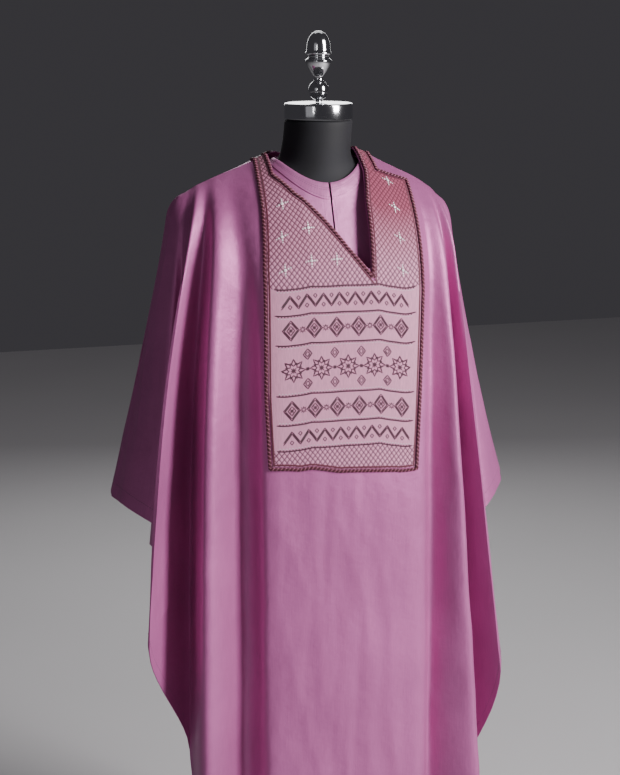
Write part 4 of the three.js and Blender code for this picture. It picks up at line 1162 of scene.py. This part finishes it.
def polished(name, colour, roughness):
    """Chrome: bright metal with faint wiping marks."""
    shade = Shader(name, metallic=1.0)
    place = shade.place()
    wiped = shade.noise(shade.stretched(place, (6.0, 6.0, 60.0)), 1.0, 3.0)
    smears = shade.noise(place, 22.0, 4.0)
    tone = shade.mix(smears.rise(0.4, 0.8), colour[:3], tinted(colour, 0.86))
    return shade.finish(tone, roughness + smears * 0.06 + wiped * 0.04, smears * 0.2 + wiped * 0.1, 0.05)


def painted(name, colour):
    """Powder coat with orange peel and scuffs."""
    shade = Shader(name, coat_weight=0.15, coat_roughness=0.3)
    place = shade.place()
    peel, scuffs = shade.noise(place, 420.0, 2.0), shade.noise(place, 9.0, 5.0, 0.6)
    tone = shade.mix(scuffs.rise(0.5, 0.8), colour[:3], tinted(colour, 2.2))
    return shade.finish(tone, 0.36 + scuffs * 0.22, peel, 0.06)


def beads_with_painted_glow(name, colour):
    """Clear pale beads, with a painted glow: they give off a faint light of their own colour."""
    # Painted glow: a little emission in the beads' colour makes them shine as if they were a lamp.
    shade = Shader(name, ior=1.6, coat_weight=0.6, coat_roughness=0.05, emission_strength=0.25)
    glint = shade.noise(shade.place(), 700.0, 1.0)
    shade.surface.inputs["Emission Color"].default_value = (*colour[:3], 1)
    tone = shade.mix(glint.rise(0.35, 0.65), tinted(colour, 0.8), tinted(colour, 1.0))
    return shade.finish(tone, 0.1 + glint * 0.15)


def studio_paper(name, colour):
    """Seamless pale floor."""
    shade = Shader(name)
    cloud, grain = shade.noise(shade.place(), 0.8, 2.0), shade.noise(shade.place(), 260.0, 2.0)
    tone = shade.mix(cloud.rise(0.2, 0.8), tinted(colour, 0.97), tinted(colour, 1.02))
    return shade.finish(tone, 0.75 + grain * 0.1, grain, 0.1)


# ---------------------------------------------------------------- settings
def colour(name, description, default):
    return FloatVectorProperty(
        name=name, description=description, default=default, size=3, min=0, max=1, subtype="COLOR"
    )


def length(name, description, default):
    return FloatProperty(
        name=name, description=description, default=default, min=0, unit="LENGTH", precision=4
    )


class ClothSettings(bpy.types.PropertyGroup):
    robe_colour: colour("Robe", "Dye of the robe", (0.52, 0.145, 0.365))
    kaftan_colour: colour("Kaftan", "Dye of the kaftan", (0.60, 0.20, 0.44))
    lustre: FloatProperty(name="Lustre", description="How much the cloth mirrors in its own colour",
                          default=0.4, min=0, max=1, subtype="FACTOR")
    roughness: FloatProperty(name="Roughness", description="How far the cloth spreads its highlights",
                             default=0.46, min=0, max=1, subtype="FACTOR")
    creases: IntProperty(name="Creases", description="Which arrangement of creases the cloth falls in",
                         default=3, min=0)
    hem: length("Hem", "Depth of the turned and stitched hem", 0.024)


class PanelSettings(bpy.types.PropertyGroup):
    ground_colour: colour("Ground", "The panel's ground", (0.66, 0.28, 0.43))
    rose_colour: colour("Rose", "The ground where it darkens at the shoulders", (0.27, 0.018, 0.062))
    thread_colour: colour("Thread", "Embroidery thread", (0.075, 0.012, 0.035))
    pale_colour: colour("Pale thread", "Ticks beside the ruled lines", (0.80, 0.62, 0.70))
    border_colour: colour("Border", "Satin stitched border inside the cords", (0.14, 0.018, 0.045))
    # This colour is also the colour of the beads' painted glow.
    bead_and_glow_colour: colour("Beads", "Clear beads", (1.0, 0.88, 0.94))
    stitch_width: length("Stitch width", "Width of a line of stitches", 0.0026)
    stitch_height: length("Stitch height", "How far the stitches stand off the panel", 0.0005)


class TrimSettings(bpy.types.PropertyGroup):
    cord_colour: colour("Cord", "Dark strands of the twisted cord", (0.11, 0.008, 0.028))
    pale_colour: colour("Pale strand", "Light strand of the twisted cord", (0.55, 0.20, 0.30))
    twist: length("Twist", "Length of one turn of the cord", 0.0068)


class FormSettings(bpy.types.PropertyGroup):
    cover_colour: colour("Cover", "Cover of the form", (0.006, 0.006, 0.009))
    metal_colour: colour("Metal", "Cap and finial", (0.75, 0.76, 0.78))
    paint_colour: colour("Paint", "Pole and base", (0.015, 0.015, 0.018))
    metal_roughness: FloatProperty(name="Metal roughness", description="Wear of the polished metal",
                                   default=0.07, min=0, max=1, subtype="FACTOR")
    rounding: length("Rounding", "Radius of turned edges", 0.0012)


class StageSettings(bpy.types.PropertyGroup):
    floor_colour: colour("Floor", "Floor", (0.62, 0.61, 0.62))
    key: FloatProperty(name="Key", description="Main light, from the right", default=190, min=0, unit="POWER")
    fill: FloatProperty(name="Fill", description="Soft light from the left", default=3, min=0, unit="POWER")
    room: FloatProperty(name="Room", description="Light from all round", default=0.05, min=0)


# ---------------------------------------------------------------- pieces
CACHE = {}


def robe_side(front):
    """The robe's front or back surface, worked out once."""
    if front not in CACHE:
        seed = float(bpy.context.scene.agbada_cloth.creases)
        tables = (FRONT_RIGHT, FRONT_LEFT, 1) if front else (BACK_RIGHT, BACK_LEFT, -1)
        CACHE[front] = RobeSide(*tables, robe_crease(seed + (0 if front else 40), 1.0 if front else 0.0))
    return CACHE[front]


def kaftan_surface():
    if "kaftan" not in CACHE:
        CACHE["kaftan"] = KaftanBody()
    return CACHE["kaftan"]


def dress(obj, materials, slot, *nodes):
    """Gives a finished piece its materials and its place on the frame."""
    if len(obj.data.materials) == 0:
        obj.data.materials.append(None)
    for k, material in enumerate(materials):
        obj.data.materials[k] = material
    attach(obj, "root")
    if nodes:
        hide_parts(*nodes)
    return obj


class AGBADA_OT_stage(bpy.types.Operator):
    """Sets the floor, the lights and the camera"""

    bl_idname = "agbada.stage"
    bl_label = "Stage"

    def light(self, name, place, aim, size, power, tint):
        data = bpy.data.lights.new(name, "AREA")
        data.shape, data.size, data.size_y = "RECTANGLE", size[0], size[1]
        data.energy, data.color = power, tint
        obj = bpy.data.objects.new(name, data)
        bpy.context.scene.collection.objects.link(obj)
        obj.visible_camera = False
        obj.location = place
        obj.rotation_euler = (Vector(aim) - Vector(place)).to_track_quat("-Z", "Y").to_euler()

    def execute(self, context):
        settings = context.scene.agbada_stage
        bpy.ops.object.select_all(action="DESELECT")
        bpy.ops.mesh.primitive_plane_add(size=12.0, location=(0, 0, 0))
        floor = context.object
        floor.name = floor.data.name = "studio_floor"
        floor.data.materials.append(studio_paper("studio_paper", settings.floor_colour))
        self.light("key", (2.1, -2.15, 2.35), (0.0, 0.0, 1.15), (1.0, 1.9), settings.key, (1.0, 0.97, 0.98))
        self.light("fill", (-2.4, -2.4, 1.9), (0, 0, 1.0), (1.8, 2.0), settings.fill, (0.97, 0.96, 1.0))
        self.light("strip", (-1.5, -2.3, 1.9), (0, 0, 1.6), (0.1, 1.0), settings.fill, (1, 1, 1))
        self.light("back", (0.7, 2.9, 2.3), (0, 0, 1.1), (1.5, 1.6), settings.key * 0.15, (1, 1, 1))
        self.light("top", (0.3, 0.9, 3.2), (0, 0, 1.2), (1.6, 1.0), settings.fill * 1.6, (1, 1, 1))
        world = context.scene.world or bpy.data.worlds.new("Studio")
        context.scene.world = world
        world.use_nodes = True
        back = next(n for n in world.node_tree.nodes if n.type == "BACKGROUND")
        back.inputs["Color"].default_value = (0.86, 0.82, 0.93, 1)
        back.inputs["Strength"].default_value = settings.room
        data = bpy.data.cameras.new("camera")
        data.sensor_width, data.lens = SENSOR, SENSOR * FOCAL_SHARE
        data.shift_x, data.shift_y = -0.011, -0.0565
        camera = bpy.data.objects.new("camera", data)
        context.scene.collection.objects.link(camera)
        turn = math.radians(CAMERA_TURN)
        camera.location = (CAMERA_REACH * math.sin(turn), -CAMERA_REACH * math.cos(turn), CAMERA_HEIGHT)
        camera.rotation_euler = (math.radians(CAMERA_TILT), 0, turn)
        context.scene.camera = camera
        return {"FINISHED"}


class AGBADA_OT_form(bpy.types.Operator):
    """Makes the limbless form with its cap, finial, pole and base"""

    bl_idname = "agbada.form"
    bl_label = "Form and stand"

    def execute(self, context):
        settings = context.scene.agbada_form
        cover = matt_cover("form_cover", settings.cover_colour)
        metal = polished("chrome", settings.metal_colour, settings.metal_roughness)
        paint = painted("stand_paint", settings.paint_colour)
        edge = settings.rounding / MM
        dress(make_torso(), [cover], "form_cover", "form_torso")
        low = FORM_RINGS[0][4] + 0.3
        cap = [
            (57.8, 0), (59.3, 1.4), (59.6, 3), (59.6, 23.5), (59.2, 26), (58, 27.6),
            (54, 28.4), (30, 28.9), (8, 29),
        ]
        lifted = [(r, z + low) for r, z in cap]
        dress(drawn_up("form_neck_cap_polished", lifted, 96, 0.4), [metal], "chrome", "form_neck_cap")
        base = low + 29.3
        turned = [(r, z + base) for r, z in curve_through(FINIAL, 4)]
        dress(drawn_up("form_finial_polished", turned, 64, 0), [metal], "chrome", "form_finial")
        foot, hips = 25.3, FORM_RINGS[-1][4] - 0.3
        pole = [(16, foot), (16, foot + 6), (16, hips - 6), (16, hips)]
        dress(drawn_up("form_pole_tube", pole, 48, edge), [paint], "stand_paint", "form_pole")
        plate = [(178, 0), (179.6, 1.4), (180, 3), (180, 6), (177.5, 9.6), (170, 12.4), (120, 17), (60, 19.8),
                 (40, 21), (30, 22.6), (26, 25)]
        dress(drawn_up("form_base_plate", plate, 128, 0.5), [paint], "stand_paint", "form_base")
        return {"FINISHED"}


class AGBADA_OT_kaftan(bpy.types.Operator):
    """Makes the kaftan's body, neck band, sleeves and stitching"""

    bl_idname = "agbada.kaftan"
    bl_label = "Kaftan"

    def execute(self, context):
        settings = context.scene.agbada_cloth
        cloth = satin("kaftan_satin", settings.kaftan_colour, settings)
        body = kaftan_surface()
        shell = make_kaftan_body(body)
        thicken(shell, CLOTH)
        dress(shell, [cloth], "kaftan_cloth", "kaftan_front", "kaftan_back")
        band = make_kaftan_band(body)
        thicken(band, 1.0)
        dress(band, [cloth], "kaftan_cloth", "kaftan_neck_band")
        with_body = [band, self.stitches(body, settings)]
        for side, word in ((1, "left"), (-1, "right")):
            sleeve = make_kaftan_sleeve(f"kaftan_sleeve_{word}_cloth", side)
            thicken(sleeve, CLOTH)
            dress(sleeve, [cloth], "kaftan_cloth", f"kaftan_sleeve_{word}")
        return {"FINISHED"}

    @staticmethod
    def stitches(body, settings):
        """Stitching beside the slit and along the neck band."""

        def surface(flat, lift):
            return body.at(flat[:, 1], flat[:, 0], lift)

        strokes = []
        for x in (SLIT_PLACE - 13.5, SLIT_PLACE + 6.5):
            v = np.linspace(1.0 if x < 0 else 0.9, 3.95, 90)
            angle = np.array([body.front_angle(k, x)[0] for k in v])
            points, _ = body.at(v, angle)
            along = np.concatenate([[0], np.cumsum(np.linalg.norm(np.diff(points, axis=0), axis=1))])
            place = 0.0
            while place + 3.2 < along[-1]:
                pair = [(np.interp(p, along, angle), np.interp(p, along, v)) for p in (place, place + 3.0)]
                strokes.append((pair, 0.8, 0.75, 0))
                place += 4.4
        angles = np.linspace(-math.pi, math.pi, 140)
        low = band_end(body, angles, 0.72 * KAFTAN_BAND)
        for a, b, v in zip(angles, angles + 0.028, low):
            if not body.front_angle(0.5, SLIT_PLACE - 3)[0] < a < body.front_angle(0.5, SLIT_PLACE + 3)[0]:
                for down in (0.4, 0.56, 0.9):
                    strokes.append((((a, v * down), (b, v * down)), 0.8, LIFT + 0.95, 0))
        obj = ribbons("kaftan_stitches", surface, strokes, 0.3)
        return dress(obj, [thread("kaftan_thread", tinted(settings.kaftan_colour, 0.6))], "kaftan_cloth")


class AGBADA_OT_robe(bpy.types.Operator):
    """Makes the robe's front and back and their hems"""

    bl_idname = "agbada.robe"
    bl_label = "Robe"

    def execute(self, context):
        settings = context.scene.agbada_cloth
        cloth = satin("robe_satin", settings.robe_colour, settings)
        sewing = thread("robe_thread", tinted(settings.robe_colour, 0.55))
        for front, make, word in ((True, make_robe_front, "front"), (False, make_robe_back, "back")):
            robe = robe_side(front)
            sheet = make(robe)
            thicken(sheet, CLOTH)
            dress(sheet, [cloth], "robe_cloth", f"robe_{word}")
            q = np.linspace(-robe.folds[0], robe.folds[1], 900)
            hem = robe.length(q) - settings.hem / MM

            def surface(flat, lift, robe=robe):
                normals = robe.normal(flat[:, 0], flat[:, 1])
                return robe.at(flat[:, 0], flat[:, 1]) + normals * np.asarray(lift)[:, None], normals

            strokes = []
            points, _ = surface(np.stack([q, hem], axis=1), np.zeros_like(q))
            along = np.concatenate([[0], np.cumsum(np.linalg.norm(np.diff(points, axis=0), axis=1))])
            for place in np.arange(4.0, along[-1] - 4, 4.6):
                pair = [(np.interp(p, along, q), np.interp(p, along, hem)) for p in (place, place + 3.0)]
                strokes.append((pair, 0.9, CLOTH / 2, 0))
            seam = ribbons(f"robe_{word}_stitches", surface, strokes, 0.3)
            dress(seam, [sewing], "robe_cloth")
        return {"FINISHED"}


class AGBADA_OT_panel(bpy.types.Operator):
    """Makes the embroidered panel, the back neck band, their stitches and beads"""

    bl_idname = "agbada.panel"
    bl_label = "Embroidered panel"

    def execute(self, context):
        settings = context.scene.agbada_panel
        ground = panel_ground("panel_ground", settings)
        front, back = robe_side(True), robe_side(False)
        panel, band = make_panel(front), make_back_band(back)
        for sheet, node in ((panel, "robe_panel"), (band, "robe_back_band")):
            thicken(sheet, PANEL_WALL)
            dress(sheet, [ground], "panel_cloth", node)
        top = LIFT + PANEL_WALL
        plum = thread("plum_thread", settings.thread_colour)
        pale = thread("pale_thread", settings.pale_colour)
        border = thread("border_thread", settings.border_colour, 700.0)
        strokes = panel_strokes(top - SUNK, settings.stitch_width / MM)
        for edge, width in ((moved_edge(PANEL_EDGE, -2.2), 3.6), (moved_edge(NECK_CUT, -8.8), 2.4)):
            line = [(x, max(1.5, s)) for x, s in edge]
            strokes.append((line, width, top - SUNK, 2))
        work = ribbons("robe_panel_embroidery", on_robe(front), strokes, settings.stitch_height / MM)
        dress(work, [plum, pale, border], "panel_cloth")
        share = np.linspace(0.01, 0.99, 90)
        curves = back_edge(*NECK_BACK, 10.5), back_edge(*BAND_BACK, -3.4)
        around = [(list(zip(*curve(share))), 5.0, top - SUNK, 0) for curve in curves]
        edging = ribbons("robe_back_band_embroidery", on_robe(back), around, settings.stitch_height / MM)
        dress(edging, [border], "panel_cloth")
        beads = self.beads(front, top, settings)
        return {"FINISHED"}

    @staticmethod
    def beads(robe, top, settings):
        """Crosses of clear beads in level rows: a large bead with two small ones on each of its sides."""
        bpy.ops.object.select_all(action="DESELECT")
        bpy.ops.mesh.primitive_ico_sphere_add(subdivisions=1, radius=1.0, location=(0, 0, 0))
        model = bpy.context.object
        shape = np.array([tuple(v.co) for v in model.data.vertices])
        sides = [tuple(f.vertices) for f in model.data.polygons]
        bpy.data.objects.remove(model)
        vertices, faces = [], []
        for x, s in BEAD_SPOTS:
            normal = robe.normal(robe.place(np.array([float(x)])), np.array([float(s)]))[0]
            turn = Vector(normal).to_track_quat("Z", "Y").to_matrix()
            layout = [(0, 0, 3.0)]
            for dx, ds in ((1, 0), (0, 1), (-1, 0), (0, -1)):
                layout += [(r * dx, r * ds, size) for r, size in ((5.4, 1.7), (9.2, 1.2))]
            for dx, ds, size in layout:
                at = robe.on(np.array([x + dx]), np.array([s + ds]), top + 0.45 * size)[0]
                start = len(vertices)
                for x_, y_, z_ in shape:
                    vertices.append(tuple(Vector(at) + turn @ Vector((x_, y_, z_ * BEAD_FLATNESS)) * size))
                faces += [tuple(start + k for k in f) for f in sides]
        obj = new_mesh("robe_panel_beads", vertices, faces)
        obj.data.shade_flat()
        return dress(obj, [beads_with_painted_glow("clear_beads_painted_glow", settings.bead_and_glow_colour)], "panel_cloth")


class AGBADA_OT_cords(bpy.types.Operator):
    """Makes the twisted cords round the neck and round the panel"""

    bl_idname = "agbada.cords"
    bl_label = "Cords"

    def execute(self, context):
        settings = context.scene.agbada_trim
        dark = thread("cord_maroon", settings.cord_colour, 500.0)
        pale = thread("cord_pale", settings.pale_colour, 500.0)
        front, back = robe_side(True), robe_side(False)
        lift = LIFT + CORD_HEIGHT / 2
        lines = {
            "robe_neck_cord": (moved_edge(NECK_CUT, -3.8), back_edge(*NECK_BACK, grow=3.8)),
            "robe_panel_cord": (moved_edge(PANEL_EDGE, 3.8)[::-1], back_edge(*BAND_BACK, grow=3.8)),
        }
        for node, (edge, curve) in lines.items():
            points, normals = trim_line(front, back, edge, curve, lift)
            cord = rope(f"{node}_twist", points, normals, CORD_WIDTH, CORD_HEIGHT, settings.twist / MM)
            dress(cord, [dark, pale], "cord_thread", node)
        return {"FINISHED"}


class AGBADA_PT_sidebar(bpy.types.Panel):
    """Lists the pieces and their settings"""

    bl_label = "Agbada"
    bl_space_type = "VIEW_3D"
    bl_region_type = "UI"
    bl_category = "Agbada"

    def draw(self, context):
        for step in STEPS_IN_ORDER:
            self.layout.operator(step.bl_idname)
        for name, group in GROUPS.items():
            box = self.layout.box()
            for key in group.__annotations__:
                box.prop(getattr(context.scene, name), key)


STEPS_IN_ORDER = (
    AGBADA_OT_stage, AGBADA_OT_form, AGBADA_OT_kaftan, AGBADA_OT_robe, AGBADA_OT_panel, AGBADA_OT_cords,
)
GROUPS = {
    "agbada_cloth": ClothSettings,
    "agbada_panel": PanelSettings,
    "agbada_trim": TrimSettings,
    "agbada_form": FormSettings,
    "agbada_stage": StageSettings,
}
CLASSES = (*GROUPS.values(), *STEPS_IN_ORDER, AGBADA_PT_sidebar)


def register():
    for item in CLASSES:
        bpy.utils.register_class(item)
    for name, group in GROUPS.items():
        setattr(bpy.types.Scene, name, PointerProperty(type=group))


def unregister():
    for name in GROUPS:
        delattr(bpy.types.Scene, name)
    for item in reversed(CLASSES):
        bpy.utils.unregister_class(item)


def main():
    register()
    bpy.ops.agbada.stage()
    bpy.ops.agbada.form()
    bpy.ops.agbada.kaftan()
    bpy.ops.agbada.robe()
    bpy.ops.agbada.panel()
    bpy.ops.agbada.cords()


if __name__ == "__main__":
    main()
